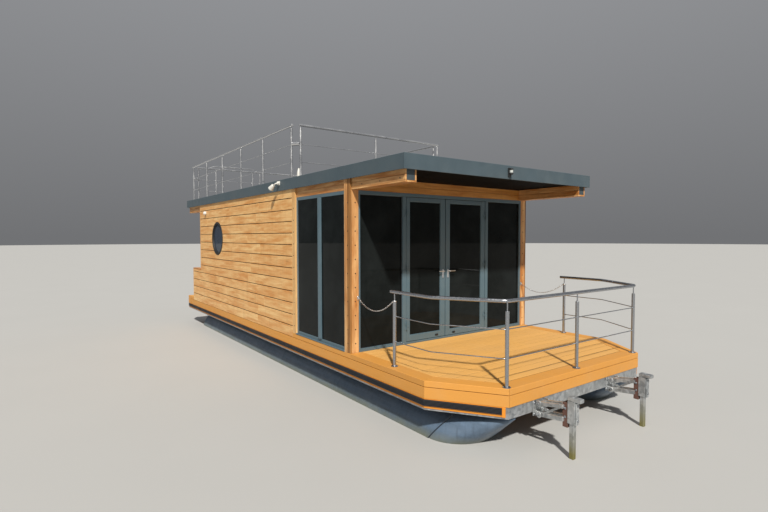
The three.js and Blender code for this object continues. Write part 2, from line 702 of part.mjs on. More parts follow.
// Mooring legs: a bracket on the front beam with a sleeve, and the leg that slides in it
const LEG = 50;
const LEG_X = bow + 405;
const SLEEVE = LEG / 2 + RUN;
const SLEEVE_WALL = 8;
const sleeveTop = DECK - 114;
const sleeveBottom = DECK - 350;
const legBottom = -1900;
const legPlaces = { starboard: -825, port: 645 };
for (const [side, y] of Object.entries(legPlaces)) {
  const faceX = bow - 12 + FIT;
  const s = SLEEVE + SLEEVE_WALL;
  const pivotX = bow + 42;
  const back = LEG_X - s - 58;
  const sides = [-44, 44].flatMap((dy) => [
    box(pivotX, back + 20, y + dy - 15, y + dy + 15, 470, 500),
    box(pivotX, back + 20, y + dy - 15, y + dy + 15, 366, 396),
    box(back - 30, back + 10, y + dy - 11, y + dy + 11, 380, 560),
    box(faceX + 5, pivotX + 22, y + dy * 1.6 - 5, y + dy * 1.6 + 5, 354, frameTop - 11),
  ]);
  addPart(`leg_bracket_${side}`, join(
    box(faceX, faceX + 12, y - 110, y + 110, DECK - 372, frameTop - 4),
    sides,
    [485, 381].map((z) => box(pivotX - 12, pivotX + 12, y - 86, y + 86, z - 10, z + 10)),
    box(back, LEG_X - s + 4, y - 33, y + 33, 320, 580),
    cut(
      join(
        box(LEG_X - s, LEG_X + s, y - s, y + s, sleeveBottom, sleeveTop),
        box(LEG_X + s - 1, LEG_X + s + 18, y - 24, y + 24, sleeveBottom - 6, sleeveTop - 8),
      ),
      box(LEG_X - SLEEVE, LEG_X + SLEEVE, y - SLEEVE, y + SLEEVE, sleeveBottom - 10, sleeveTop + 10),
    ),
  ), 'galvanised');
  addPart(`leg_${side}`, join(
    box(LEG_X - LEG / 2, LEG_X + LEG / 2, y - LEG / 2, y + LEG / 2, legBottom, sleeveTop + 46),
    box(LEG_X - 40, LEG_X + 105, y - 35, y + 35, sleeveTop + FIT, sleeveTop + 40),
    box(LEG_X - 75, LEG_X + 75, y - 75, y + 75, legBottom - 12, legBottom + 1),
  ), 'galvanised');
}

export default houseboat;
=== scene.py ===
"""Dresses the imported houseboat: timber cladding, composite decks, glazing, rails, floats, lamps and
mooring legs.

Metres, in the frame's own axes: +X to the bow, +Y to port, +Z up, the water at z = 0.
"""
import math

import bmesh
import bpy
import numpy as np
from bpy.props import FloatProperty, FloatVectorProperty, IntProperty, PointerProperty
from bpy.types import Operator, Panel, PropertyGroup
from mathutils import Matrix, Vector


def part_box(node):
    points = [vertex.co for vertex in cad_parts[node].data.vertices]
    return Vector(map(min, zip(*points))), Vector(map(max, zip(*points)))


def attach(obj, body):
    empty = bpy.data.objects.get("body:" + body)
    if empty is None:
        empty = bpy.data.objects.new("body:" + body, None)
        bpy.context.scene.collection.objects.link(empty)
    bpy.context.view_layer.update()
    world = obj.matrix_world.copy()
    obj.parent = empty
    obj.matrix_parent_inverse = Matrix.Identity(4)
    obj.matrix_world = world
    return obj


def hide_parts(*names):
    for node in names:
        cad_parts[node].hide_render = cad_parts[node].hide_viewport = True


bl_info = {
    "name": "Houseboat",
    "version": (1, 0, 0),
    "blender": (4, 5, 0),
    "location": "View3D > Sidebar > Houseboat",
    "description": "Timber-clad houseboat on two round floats, built piece by piece on its solid frame",
    "category": "Add Mesh",
}

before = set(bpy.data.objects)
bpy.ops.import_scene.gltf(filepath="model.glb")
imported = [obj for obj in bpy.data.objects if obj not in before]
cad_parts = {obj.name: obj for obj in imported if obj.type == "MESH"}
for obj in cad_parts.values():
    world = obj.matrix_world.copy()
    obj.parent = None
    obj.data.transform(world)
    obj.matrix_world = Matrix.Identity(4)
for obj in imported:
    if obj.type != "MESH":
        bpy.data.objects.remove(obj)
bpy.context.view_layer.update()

# Main places, from the frame
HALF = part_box("stern_fascia")[1].y
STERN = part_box("stern_fascia")[0].x
TRIM_AFT, _, FRAME_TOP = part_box("bow_fascia")[0]
BOW, _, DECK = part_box("bow_fascia")[1]
FRAME_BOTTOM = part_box("deck_frame")[0].z
POST_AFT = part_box("corner_post_starboard")[0].x
POST_FRONT, POST_INNER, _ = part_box("corner_post_starboard")[1]
WINDOW_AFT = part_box("window_frame_starboard")[0].x
CABIN_AFT, SCREEN_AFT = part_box("wall_starboard")[0].x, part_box("aft_screen_starboard")[0].x
WALL_INNER = -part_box("wall_starboard")[1].y
BEAM_BOTTOM, COVER_TOP = (corner.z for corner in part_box("side_beam_starboard"))
BETWEEN = -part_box("side_beam_starboard")[1].y     # half the clear width between the side beams
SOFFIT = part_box("ceiling_panel")[0].z
ROOF_LOW, ROOF_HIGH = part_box("roof_fascia")
ROOF_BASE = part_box("roof_deck")[1].z
PORTHOLE = sum(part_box("porthole_rim_starboard"), Vector((0, 0, 0))) / 2

# Places and sizes that several pieces share
X, Y, Z = range(3)
ALONG, ACROSS, UP = (X, Y, Z), (Y, X, Z), (Z, Y, X)   # grain's own axis first
AXIS = 0.0004                                     # radius that closes a turned shape
BEND_X, CORNER_Y = BOW - 0.755, HALF - 0.515      # where the bow's corners are cut
BOARD, EDGE_BOARD, MARGIN = 0.03, 0.19, 0.194     # board thickness, edge boards, these with their gap
SPLIT = DECK - 0.067                              # joint under the edge boards, where the cladding starts
SKIN = 0.02                                       # thickness of the cladding
GLAZING = POST_FRONT - 0.005                      # outer face of the front glazing
DOORWAY = (-0.878, 0.8)
HANDLE = DECK + 1.05
HINGE_LEVELS = [DECK + level for level in (0.25, 1.1, 1.9)]
PIN_OUT = 0.01                                    # hinge pin ahead of the face that it hangs on
RAIL_POST, RAIL_Y = BOW - 1.418, HALF - 0.1       # first post of the foredeck rail
LEG_X, PIVOT = BOW + 0.405, BOW + 0.042           # middle of a leg, rods that carry its bracket
BEARER_Y = 1.225                                  # steel bearers over the floats
CAMERA_AT, LENS = (8.5046, -5.3201, 2.3054), 22.783   # lens in millimetres
SUNLIGHT = Vector((-0.904, 0.518, -1.0))          # the way that the key light falls
BOTH = np.array([[1.0, 1.0, 1.0], [1.0, -1.0, 1.0]])


def linear(colour):
    """The linear colour of a hex code; any other colour stays as it is."""
    if not isinstance(colour, str):
        return tuple(colour)
    part = np.array([int(colour[i:i + 2], 16) / 255 for i in (0, 2, 4)])
    return tuple(np.where(part <= 0.04045, part / 12.92, ((part + 0.055) / 1.055) ** 2.4))


def shade(colour, factor, lift=0.0):
    """The colour times a factor, plus a lift."""
    return tuple(factor * c + lift for c in linear(colour))


class HouseboatTimber(PropertyGroup):
    """Boards of the cabin and the decks"""
    pitch: FloatProperty(name="Board pitch", description="Height of one cladding board with its gap",
                         default=0.1906, unit="LENGTH")
    gap: FloatProperty(name="Board gap", description="Shadow gap between cladding boards", default=0.012,
                       unit="LENGTH")
    deck_boards: IntProperty(name="Deck boards", description="Boards across the foredeck's field",
                             default=14)
    cladding: FloatVectorProperty(name="Cladding", description="Pale tone of the cladding", subtype="COLOR",
                                  default=linear("ffda9a"))
    streak: FloatVectorProperty(name="Streaks", description="Dark tone of the cladding's grain",
                                subtype="COLOR", default=linear("d8934a"))
    decking: FloatVectorProperty(name="Decking", description="Colour of the composite boards",
                                 subtype="COLOR", default=linear("edb362"))


class HouseboatMetal(PropertyGroup):
    """Sheet metal, profiles and tubes"""
    roof: FloatVectorProperty(name="Roof sheet", description="Colour of the coated roof edge",
                              subtype="COLOR", default=linear("4a5961"))
    profiles: FloatVectorProperty(name="Profiles", description="Colour of the window and door profiles",
                                  subtype="COLOR", default=linear("506671"))
    tube: FloatProperty(name="Rail tube", description="Radius of the handrails and posts", default=0.021,
                        unit="LENGTH")
    rod: FloatProperty(name="Rail rod", description="Radius of the rods between the posts", default=0.006,
                       unit="LENGTH")
    link: FloatProperty(name="Chain link", description="Length of one link of the gate chains",
                        default=0.03, unit="LENGTH")


class HouseboatFloats(PropertyGroup):
    """The two floats"""
    radius: FloatProperty(name="Radius", description="Radius of a float between its weld rings",
                          default=0.471, unit="LENGTH")
    colour: FloatVectorProperty(name="Colour", description="Colour of the floats", subtype="COLOR",
                                default=linear("475a6e"))
    spacing: FloatProperty(name="Weld spacing", description="Length between weld rings", default=1.95,
                           unit="LENGTH")


class HouseboatStage(PropertyGroup):
    """Light and floor"""
    key: FloatProperty(name="Key light", description="Strength of the key light", default=4.8)
    fill: FloatProperty(name="Fill light", description="Strength of the surrounding light", default=0.33)
    floor: FloatVectorProperty(name="Floor", description="Colour of the floor", subtype="COLOR",
                               default=(0.44, 0.44, 0.43))


# Shapes: every function returns rings of points as an array (stations, points, 3)
def about(middle, half):
    """The span from half before the middle to half past it."""
    return middle - half, middle + half


def place(first, second, third, axes):
    """Coordinates along three named axes, stacked as x, y, z."""
    stacked = [None, None, None]
    for axis, values in zip(axes, (first, second, third)):
        stacked[axis] = values
    return np.stack(np.broadcast_arrays(*stacked), axis=-1)


def plank(along, wide, deep, cut=0.0025, axes=(X, Z, Y)):
    """A board along its stations. At each one its section is the rectangle wide by deep with its corners
    cut off, and the first and last sections are repeated smaller by the same cut."""
    along = np.asarray(along, float)
    count = len(along)
    t = np.concatenate([[along[0], along[0] + cut], along[1:-1], [along[-1] - cut, along[-1]]])
    inset = np.zeros(count + 2)
    inset[[0, -1]] = cut

    def bound(values, sign):
        """The values at every station and again at both ends, moved by the inset."""
        return np.pad(np.broadcast_to(np.asarray(values, float), (count,)), 1, mode="edge") + sign * inset

    a0, a1, b0, b1 = bound(wide[0], 1), bound(wide[1], -1), bound(deep[0], 1), bound(deep[1], -1)
    a = np.stack([a0 + cut, a1 - cut, a1, a1, a1 - cut, a0 + cut, a0, a0], 1)
    b = np.stack([b0, b0, b0 + cut, b1 - cut, b1, b1, b1 - cut, b0 + cut], 1)
    return place(t[:, None], a, b, axes)


def hoop(low, high, profile, axes=(X, Z, Y)):
    """A mitred frame round the rectangle low to high: each profile point is a distance outwards from the
    rectangle, equal on both axes at a corner, and a depth on the third axis."""
    corner = np.array([[0, 0], [1, 0], [1, 1], [0, 1]])
    start = np.where(corner == 1, high, low)
    out = np.where(corner == 1, 1.0, -1.0)
    profile = np.asarray(profile, float)
    a, b = (start[:, i:i + 1] + out[:, i:i + 1] * profile[:, 0] for i in (0, 1))
    return place(a, b, np.broadcast_to(profile[:, 1], a.shape), axes)


def mitred(profile, path, gap=0.0, closed=False):
    """One board for each stretch of a path in plan. A profile point is a distance outwards, to the right
    of the path, and a height. At a bend the ends lie on the bisector, where the distance is divided by
    the cosine of half the turn, and the gap is left between them."""
    profile, path = np.asarray(profile, float), np.asarray(path, float)
    if closed:
        path = np.vstack([path, path[:1]])
    way = np.diff(path, axis=0)
    way /= np.linalg.norm(way, axis=1, keepdims=True)
    normal = np.stack([way[:, 1], -way[:, 0]], 1)
    before = np.vstack([normal[-1:] if closed else normal[:1], normal])
    after = np.vstack([normal, normal[:1] if closed else normal[-1:]])
    mitre = (before + after) / (1 + (before * after).sum(1, keepdims=True))
    boards = []
    for i, direction in enumerate(way):
        ends = path[i:i + 2, None] + mitre[i:i + 2, None] * profile[None, :, :1]
        ends = ends + np.array([0.5, -0.5])[:, None, None] * gap * direction
        boards.append(place(ends[..., 0], ends[..., 1], np.broadcast_to(profile[:, 1], ends.shape[:2]),
                            ALONG))
    return boards


def rounded(points, radius, steps=6):
    """A path whose bends are eased: each corner becomes the parabola between the places one radius before
    and after it, as long as the stretches allow."""
    points = np.asarray(points, float)
    eased = [points[:1]]
    t = np.linspace(0, 1, steps + 1)[:, None]
    for before, corner, after in zip(points[:-2], points[1:-1], points[2:]):
        start, end = (corner + (far - corner) / np.linalg.norm(far - corner)
                      * min(radius, 0.45 * np.linalg.norm(far - corner)) for far in (before, after))
        eased.append((1 - t) ** 2 * start + 2 * t * (1 - t) * corner + t ** 2 * end)
    return np.vstack(eased + [points[-1:]])


def tube(path, radius, sides=16, across=(0, 0, 1), cut=0.0015, closed=False):
    """A round bar: circles square to the path, with a small bevel at each end. The circle's first axis is
    square to the path and to the across direction."""
    path = np.asarray(path, float)
    if closed:
        way = np.roll(path, -1, 0) - np.roll(path, 1, 0)
        size = np.full(len(path), float(radius))
    else:
        way = np.gradient(path, axis=0)
        first, last = way[0] / np.linalg.norm(way[0]), way[-1] / np.linalg.norm(way[-1])
        path = np.vstack([path[:1], path[:1] + first * cut, path[1:-1], path[-1:] - last * cut, path[-1:]])
        way = np.vstack([way[:1], way, way[-1:]])
        size = np.full(len(path), float(radius))
        size[[0, -1]] -= cut
    way /= np.linalg.norm(way, axis=1, keepdims=True)
    u = np.cross(way, across)
    u /= np.linalg.norm(u, axis=1, keepdims=True)
    v = np.cross(way, u)
    turn = np.linspace(0, 2 * np.pi, sides, endpoint=False)[:, None]
    return path[:, None] + size[:, None, None] * (np.cos(turn) * u[:, None] + np.sin(turn) * v[:, None])


def turned(profile, centre=(0, 0, 0), axis=(0, 0, 1), sides=24):
    """A lathe shape: each profile point is a radius and a height along the axis from the centre."""
    profile = np.asarray(profile, float)
    axis = Vector(axis).normalized()
    u = axis.orthogonal().normalized()
    v = axis.cross(u)
    turn = np.linspace(0, 2 * np.pi, sides, endpoint=False)[:, None]
    ring = np.cos(turn) * np.array(u) + np.sin(turn) * np.array(v)
    return np.array(centre) + profile[:, 1, None, None] * np.array(axis) + profile[:, 0, None, None] * ring


def drum(radius, low, high, cut=0.0):
    """Profile of a plain cylinder from low to high; both edges may be cut off."""
    edge = [(radius, low)] if cut == 0 else [(radius - cut, low), (radius, low + cut)]
    back = [(radius, high)] if cut == 0 else [(radius, high - cut), (radius - cut, high)]
    return [(AXIS, low), *edge, *back, (AXIS, high)]


def sagging(start, end, sag, count):
    """Points of a chain between two ends: the straight line less a parabola that is deepest half way."""
    t = np.linspace(0, 1, count)[:, None]
    return np.array(start) * (1 - t) + np.array(end) * t - np.array([0, 0, 4 * sag]) * t * (1 - t)


def edge_path(aft, inset=0.0, front=None):
    """The deck's edge from a station on starboard round the bow to port, moved inwards by the inset. With
    a front, it stops on the starboard corner cut at that station."""
    slope = (HALF - CORNER_Y) / (BOW - BEND_X)
    if front is not None:
        return [[aft, -HALF], [BEND_X, -HALF], [front, -HALF + (front - BEND_X) * slope]]
    length = math.hypot(1, slope)
    bend = BEND_X - inset * (length - 1) / slope
    corner = CORNER_Y - inset * (length - slope)
    side, nose = HALF - inset, BOW - inset
    return [[aft, -side], [bend, -side], [nose, -corner], [nose, corner], [bend, side], [aft, side]]


class Shells:
    """Gathers closed shells into one mesh; every shell has its own tone between 0 and 1."""

    def __init__(self, seed=1):
        self.points, self.faces, self.tones = [], [], []
        self.count = 0
        self.random = np.random.default_rng(seed)

    def add(self, rings, closed=False, tone=None, at=((0, 0, 0),), ends=(True, True)):
        """Quads between rings; flat ends unless the last ring meets the first. at holds places for
        copies."""
        m, n = rings.shape[:2]
        i = np.arange(m if closed else m - 1)[:, None]
        j = np.arange(n)[None, :]
        k, beside = (i + 1) % m, (j + 1) % n
        quads = np.stack([i * n + j, i * n + beside, k * n + beside, k * n + j], -1).reshape(-1, 4)
        for offset in np.asarray(at, float):
            self.faces += (quads + self.count).tolist()
            for wanted, first in zip(ends, (0, (m - 1) * n)):
                if wanted and not closed:
                    self.faces.append(list(range(self.count + first, self.count + first + n)))
            self.points.append(rings.reshape(-1, 3) + offset)
            self.tones.append(np.full(m * n, self.random.random() if tone is None else tone))
            self.count += m * n
        return self

    def pair(self, rings, **options):
        """The same shell on starboard and on port."""
        for side in BOTH:
            self.add(rings * side, **options)
        return self

    def bar(self, x, y, z, run=X, cut=0.003, both=False, **options):
        """A straight board that fills the box x by y by z and runs along one axis."""
        box = (x, y, z)
        wide, deep = (axis for axis in ALONG if axis != run)
        rings = plank(box[run], box[wide], box[deep], cut, (run, wide, deep))
        return self.pair(rings, **options) if both else self.add(rings, **options)

    def mitre(self, profile, path, gap=0.0, closed=False, sides=BOTH[:1]):
        """Mitred boards along a path, for each of the sides."""
        for side in sides:
            for board in mitred(profile, path, gap, closed):
                self.add(board * side)
        return self


def piece(name, shells, finish, slot, *nodes, body="hull", smooth=35, merge=0.0):
    """Makes one object at the origin from the shells, faces turned outwards, and puts it on its body."""
    mesh = bpy.data.meshes.new(name)
    mesh.from_pydata(np.concatenate(shells.points).tolist(), [], shells.faces)
    mesh.attributes.new("tone", "FLOAT", "POINT").data.foreach_set("value", np.concatenate(shells.tones))
    work = bmesh.new()
    work.from_mesh(mesh)
    if merge:
        bmesh.ops.remove_doubles(work, verts=work.verts, dist=merge)
    bmesh.ops.recalc_face_normals(work, faces=work.faces)
    work.to_mesh(mesh)
    work.free()
    mesh.shade_smooth()
    mesh.set_sharp_from_angle(angle=math.radians(smooth))
    mesh.materials.append(FINISHES[finish])
    made = bpy.data.objects.new(name, mesh)
    bpy.context.scene.collection.objects.link(made)
    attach(made, body)
    if nodes:
        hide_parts(*nodes)


def finish_node(finish, *names):
    """Gives carried-over nodes a better finish."""
    for name in names:
        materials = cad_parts[name].data.materials
        materials.clear()
        materials.append(FINISHES[finish])


# Finishes
def wire(tree, kind, inputs=None, out=0, **settings):
    """Adds a node, sets it, links what is a socket and returns one output."""
    node = tree.nodes.new("ShaderNode" + kind)
    for key, value in settings.items():
        setattr(node, key, value)
    for key, value in (inputs or {}).items():
        if isinstance(value, bpy.types.NodeSocket):
            tree.links.new(value, node.inputs[key])
        else:
            node.inputs[key].default_value = value
    return node.outputs[out]


def maths(tree, operation, first, second=0.5, clamp=False):
    """One arithmetic step, kept within 0 to 1 where it is clamped."""
    return wire(tree, "Math", {0: first, 1: second}, operation=operation, use_clamp=clamp)


def colour_mix(tree, factor, first, second):
    """Mixes two colours by a factor."""
    first, second = (c if isinstance(c, bpy.types.NodeSocket) else (*linear(c), 1.0)
                     for c in (first, second))
    return wire(tree, "Mix", {0: factor, 6: first, 7: second}, out=2, data_type="RGBA")


def ramp(tree, factor, low, high):
    """Spreads the values between low and high over 0 to 1."""
    return wire(tree, "MapRange", {"Value": factor, "From Min": low, "From Max": high})


def noise(tree, vector, scale=1.0, detail=3.0, rough=0.6, bend=0.0, stretch=None):
    """Noise on the vector, which may be stretched by a scale for each axis first."""
    if stretch:
        vector = wire(tree, "Mapping", {"Vector": vector, "Scale": stretch})
    return wire(tree, "TexNoise", {"Vector": vector, "Scale": scale, "Detail": detail, "Roughness": rough,
                                   "Distortion": bend})


def effect(name, build, inputs, outputs):
    """A shared node group with named sockets."""
    tree = bpy.data.node_groups.new("houseboat " + name, "ShaderNodeTree")
    for label, kind in inputs.items():
        tree.interface.new_socket(label, in_out="INPUT", socket_type="NodeSocket" + kind)
    for label in outputs:
        tree.interface.new_socket(label, in_out="OUTPUT", socket_type="NodeSocketFloat")
    start, end = tree.nodes.new("NodeGroupInput"), tree.nodes.new("NodeGroupOutput")
    for label, socket in build(tree, start.outputs).items():
        tree.links.new(socket, end.inputs[label])
    return tree


def build_grain(tree, given):
    """Wood figure along the vector's X: broad clouds, growth rings bent by noise, fine fibres and knots.
    The tone moves each board to its own part of the figure."""
    tone = wire(tree, "CombineXYZ", {i: maths(tree, "MULTIPLY", given["Tone"], reach)
                                     for i, reach in enumerate((37.0, 19.0, 53.0))})
    at = wire(tree, "VectorMath", {0: given["Vector"], 1: tone}, operation="ADD")
    cloud = noise(tree, at, 1.0, 4.0, 0.6, 0.5, (1.5, 8.0, 15.0))
    drawn = wire(tree, "Mapping", {"Vector": at, "Scale": (0.35, 5.0, 14.0)})
    rings = wire(tree, "TexWave", {"Vector": drawn, "Scale": 1.6, "Distortion": 5.0, "Detail": 2.5,
                                   "Detail Scale": 1.2}, bands_direction="Z")
    fibre = noise(tree, at, stretch=(5.0, 160.0, 160.0))
    spots = wire(tree, "Mapping", {"Vector": at, "Scale": (1.1, 5.0, 5.0)})
    knots = wire(tree, "TexVoronoi", {"Vector": spots, "Scale": 1.0})
    return {"Cloud": ramp(tree, cloud, 0.36, 0.64), "Rings": rings, "Fibre": ramp(tree, fibre, 0.3, 0.7),
            "Knots": ramp(tree, knots, 0.10, 0.0)}


def build_dirt(tree, given):
    """Soft patches and thin runs that lie over a finish."""
    patch = noise(tree, given["Vector"], 1.7, 5.0, 0.65, 0.3)
    run = noise(tree, given["Vector"], stretch=(24.0, 24.0, 1.6))
    return {"Patches": ramp(tree, patch, 0.42, 0.75), "Runs": ramp(tree, run, 0.5, 0.8)}


def build_rub(tree, given):
    """Fine scratches and handling marks."""
    fine = noise(tree, given["Vector"], 1.0, 4.0, 0.7, stretch=(60.0, 60.0, 60.0))
    broad = noise(tree, given["Vector"], 5.0, 4.0)
    return {"Scuffs": ramp(tree, maths(tree, "MULTIPLY", fine, broad), 0.16, 0.36), "Broad": broad}


FINISHES = {}


class Finish:
    """A material laid up coat by coat over its first colour, with the coordinates, the tone and the
    shared effects at hand."""
    effects = {}

    def __init__(self, name, colour, order=ALONG, **plain):
        self.name, self.colour = name, linear(colour)
        self.material = bpy.data.materials.new(name)
        self.material.use_nodes = True
        self.tree = self.material.node_tree
        self.shader = next(n for n in self.tree.nodes if n.type == "BSDF_PRINCIPLED")
        for key, value in plain.items():
            self.shader.inputs[key.replace("_", " ")].default_value = value
        self.at = wire(self.tree, "TexCoord", out=3)
        self.tone = wire(self.tree, "Attribute", out=2, attribute_name="tone")
        self.parts = None
        self.turned = self.at
        if order != ALONG:
            self.turned = wire(self.tree, "CombineXYZ", dict(enumerate(self.apart(i) for i in order)))

    def apart(self, axis):
        """The coordinate along one axis."""
        if self.parts is None:
            self.parts = wire(self.tree, "SeparateXYZ", {0: self.at}).node.outputs
        return self.parts[axis]

    def effect(self, name, **given):
        """The outputs of a shared effect on the finish's coordinates."""
        node = self.tree.nodes.new("ShaderNodeGroup")
        node.node_tree = Finish.effects[name]
        for key, value in given.items():
            self.tree.links.new(value, node.inputs[key])
        return node.outputs

    def grain(self):
        """Clouds, rings, fibres and knots along the grain's own axis."""
        return self.effect("grain", Vector=self.turned, Tone=self.tone)

    def dirt(self):
        """Patches and runs, which hang down whatever the grain's axis."""
        return self.effect("dirt", Vector=self.at)

    def rub(self):
        """Scuffs and broad handling marks."""
        return self.effect("rub", Vector=self.turned)

    def ramp(self, values, low, high):
        """Spreads the values between low and high over 0 to 1."""
        return ramp(self.tree, values, low, high)

    def height(self, low, high, axis=Z):
        """0 where the distance along the axis is low, 1 where it is high, or the other way round."""
        return self.ramp(maths(self.tree, "ABSOLUTE", self.apart(axis)), low, high)

    def lay(self, mask, colour, amount=None):
        """Lays the colour over what is there, as far as the mask and the amount go."""
        if amount is not None:
            mask = maths(self.tree, "MULTIPLY", mask, amount)
        self.colour = colour_mix(self.tree, mask, self.colour, colour)

    def film(self, low, high, mask, lift, colour):
        """A film that is densest at the water and uneven with the mask."""
        uneven = maths(self.tree, "ADD", mask, lift)
        self.lay(maths(self.tree, "MULTIPLY", self.height(low, high), uneven, clamp=True), colour)

    def done(self, level=None, bump=None, strength=0.3, distance=0.002):
        """Links the colour, the roughness as a mask with its two limits, and the relief to the shader."""
        found = {"Base Color": self.colour}
        if level:
            found["Roughness"] = wire(self.tree, "MapRange",
                                      dict(zip(("Value", "To Min", "To Max"), level)))
        if bump is not None:
            found["Normal"] = wire(self.tree, "Bump", {"Strength": strength, "Distance": distance,
                                                       "Height": bump})
        for key, socket in found.items():
            self.tree.links.new(socket, self.shader.inputs[key])
        FINISHES[self.name] = self.material
        return self.material


def timber_finish(name, order, pale, dark, rings=0.35, rough=0.5, dirt=0.15, gap=None, gloss=0.4):
    """Oiled timber with its grain along the first axis of the order, darkened with painted shade in the
    gaps between boards.
    The gap names the axis and the place of the face."""
    f = Finish(name, pale, order, Specular_IOR_Level=gloss)
    grain, soil = f.grain(), f.dirt()
    f.lay(f.ramp(f.tone, -0.4, 1.9), tuple(0.5 * (a + b) for a, b in zip(linear(pale), linear(dark))))
    for mark, deep, amount in (("Cloud", 1.0, 0.9), ("Rings", 0.62, rings), ("Fibre", 0.5, 0.28),
                               ("Knots", 0.35, 0.55)):
        f.lay(grain[mark], shade(dark, deep), amount)
    f.lay(soil["Runs"], "6a5138", dirt)
    # painted shade: board edges 2 to 5 mm or more behind the face, inside the gaps, are laid dark brown
    if gap:
        f.lay(f.height(gap[1] - 0.002, gap[1] - 0.005, gap[0]), "3a2412")
    relief = maths(f.tree, "ADD", grain["Fibre"], grain["Rings"])
    f.done((grain["Fibre"], rough - 0.08, rough + 0.14), relief, 0.25, 0.0012)


def decking_finish(name, order, colour, gap=None):
    """Brushed composite board: an even ochre with fine lines along the board, a dusting of dirt and painted
    shade in the gaps.
    """
    f = Finish(name, colour, order)
    grain, soil = f.grain(), f.dirt()
    dark = shade(colour, 0.66)
    f.lay(f.ramp(f.tone, -0.6, 2.2), dark)
    f.lay(grain["Fibre"], dark, 0.35)
    f.lay(grain["Cloud"], dark, 0.16)
    f.lay(soil["Patches"], "b59b78", 0.16)
    # painted shade: the board sides inside the gaps, 2 to 4 mm below the top, are laid near black
    if gap:
        f.lay(f.height(gap[1] - 0.002, gap[1] - 0.004, gap[0]), "24180c")
    f.done((grain["Fibre"], 0.52, 0.72), grain["Fibre"], 0.35, 0.001)


def metal_finish(name, colour, metallic=0.0, rough=0.4, scuff=0.2, dirt=0.15, coat=0.0, bright=1.35,
                 bump=0.08):
    """Coated or bare sheet and bar: faint clouds in the colour, scuffs in the gloss and dust in the
    runs."""
    f = Finish(name, colour, Metallic=metallic, Coat_Weight=coat)
    rub, soil = f.rub(), f.dirt()
    pale = tuple(min(1.0, c) for c in shade(colour, bright, 0.01))
    f.lay(rub["Broad"], pale, 0.35)
    f.lay(rub["Scuffs"], pale, scuff)
    f.lay(soil["Runs"], shade(colour, 0.45, 0.03), dirt)
    f.lay(soil["Patches"], "9b9384", dirt)
    f.done((rub["Scuffs"], rough, min(1.0, rough + 0.25)), rub["Scuffs"], bump, 0.0005)


def galvanised_finish(name, wet=False):
    """Hot-dip zinc: flat crystals of different greys, white bloom and, near the water, an ochre film."""
    f = Finish(name, "8d9399", Metallic=0.75)
    crystal = wire(f.tree, "TexVoronoi", {"Vector": f.at, "Scale": 28.0}, out=1)
    value = wire(f.tree, "SeparateColor", {0: crystal})
    soil, rub = f.dirt(), f.rub()
    f.lay(value, "ccd0d4")
    f.lay(rub["Broad"], "777b7f", 0.6)
    f.lay(soil["Patches"], "dcdcd6", 0.5)
    f.lay(soil["Runs"], "5c5a55", 0.35)
    if wet:
        f.film(0.34, 0.05, rub["Broad"], 0.35, "8a8452")
    f.done((value, 0.32, 0.58), value, 0.1, 0.0006)


def glass_finish(name, tint, body=(0.008, 0.01, 0.01), clear=0.14):
    """Dark reflective glass, a little duller where a faint film of dust lies. Its default near-black body,
    which lets little light through, is painted shade for the unlit cabin behind it.
    """
    f = Finish(name, body, IOR=1.2, Transmission_Weight=clear, Metallic=0.0, Specular_IOR_Level=0.3)
    soil = f.dirt()
    f.lay(soil["Patches"], tint, 0.045)
    f.done((soil["Patches"], 0.015, 0.07))


def float_finish(name, colour, seam):
    """Blue-grey polyethylene: chalky patches, lengthways scuffs, a stained band at the water and a dark
    line along the raked seam of the bow. The seam is a station at z = 0 and a slope."""
    f = Finish(name, colour, Coat_Weight=0.15)
    rub, soil = f.rub(), f.dirt()
    f.lay(f.ramp(noise(f.tree, f.at, 1.0, 5.0, 0.65, stretch=(0.8, 14.0, 14.0)), 0.35, 0.7),
          shade(colour, 1.45, 0.01))
    f.lay(soil["Patches"], "7a8796", 0.4)
    f.lay(soil["Runs"], "2e3440", 0.35)
    f.film(0.12, 0.0, rub["Broad"], 0.2, "6b6d58")
    past = maths(f.tree, "SUBTRACT", f.apart(X), maths(f.tree, "MULTIPLY", f.apart(Z), seam[1]))
    past = maths(f.tree, "ABSOLUTE", maths(f.tree, "SUBTRACT", past, seam[0]))
    f.lay(f.ramp(past, 0.011, 0.005), "1d2733")
    f.done((rub["Scuffs"], 0.36, 0.6), rub["Scuffs"], 0.12, 0.001)


def plain_finish(name, colour, rough, bump=0.1, **plain):
    """Rubber, paint or plastic with a fine skin and a little variation."""
    f = Finish(name, colour, **plain)
    rub, soil = f.rub(), f.dirt()
    f.lay(rub["Broad"], shade(colour, 1.4, 0.006), 0.5)
    f.lay(soil["Patches"], shade(colour, 0.7, 0.05), 0.2)
    f.done((rub["Scuffs"], rough, min(1.0, rough + 0.2)), rub["Scuffs"], bump, 0.0008)


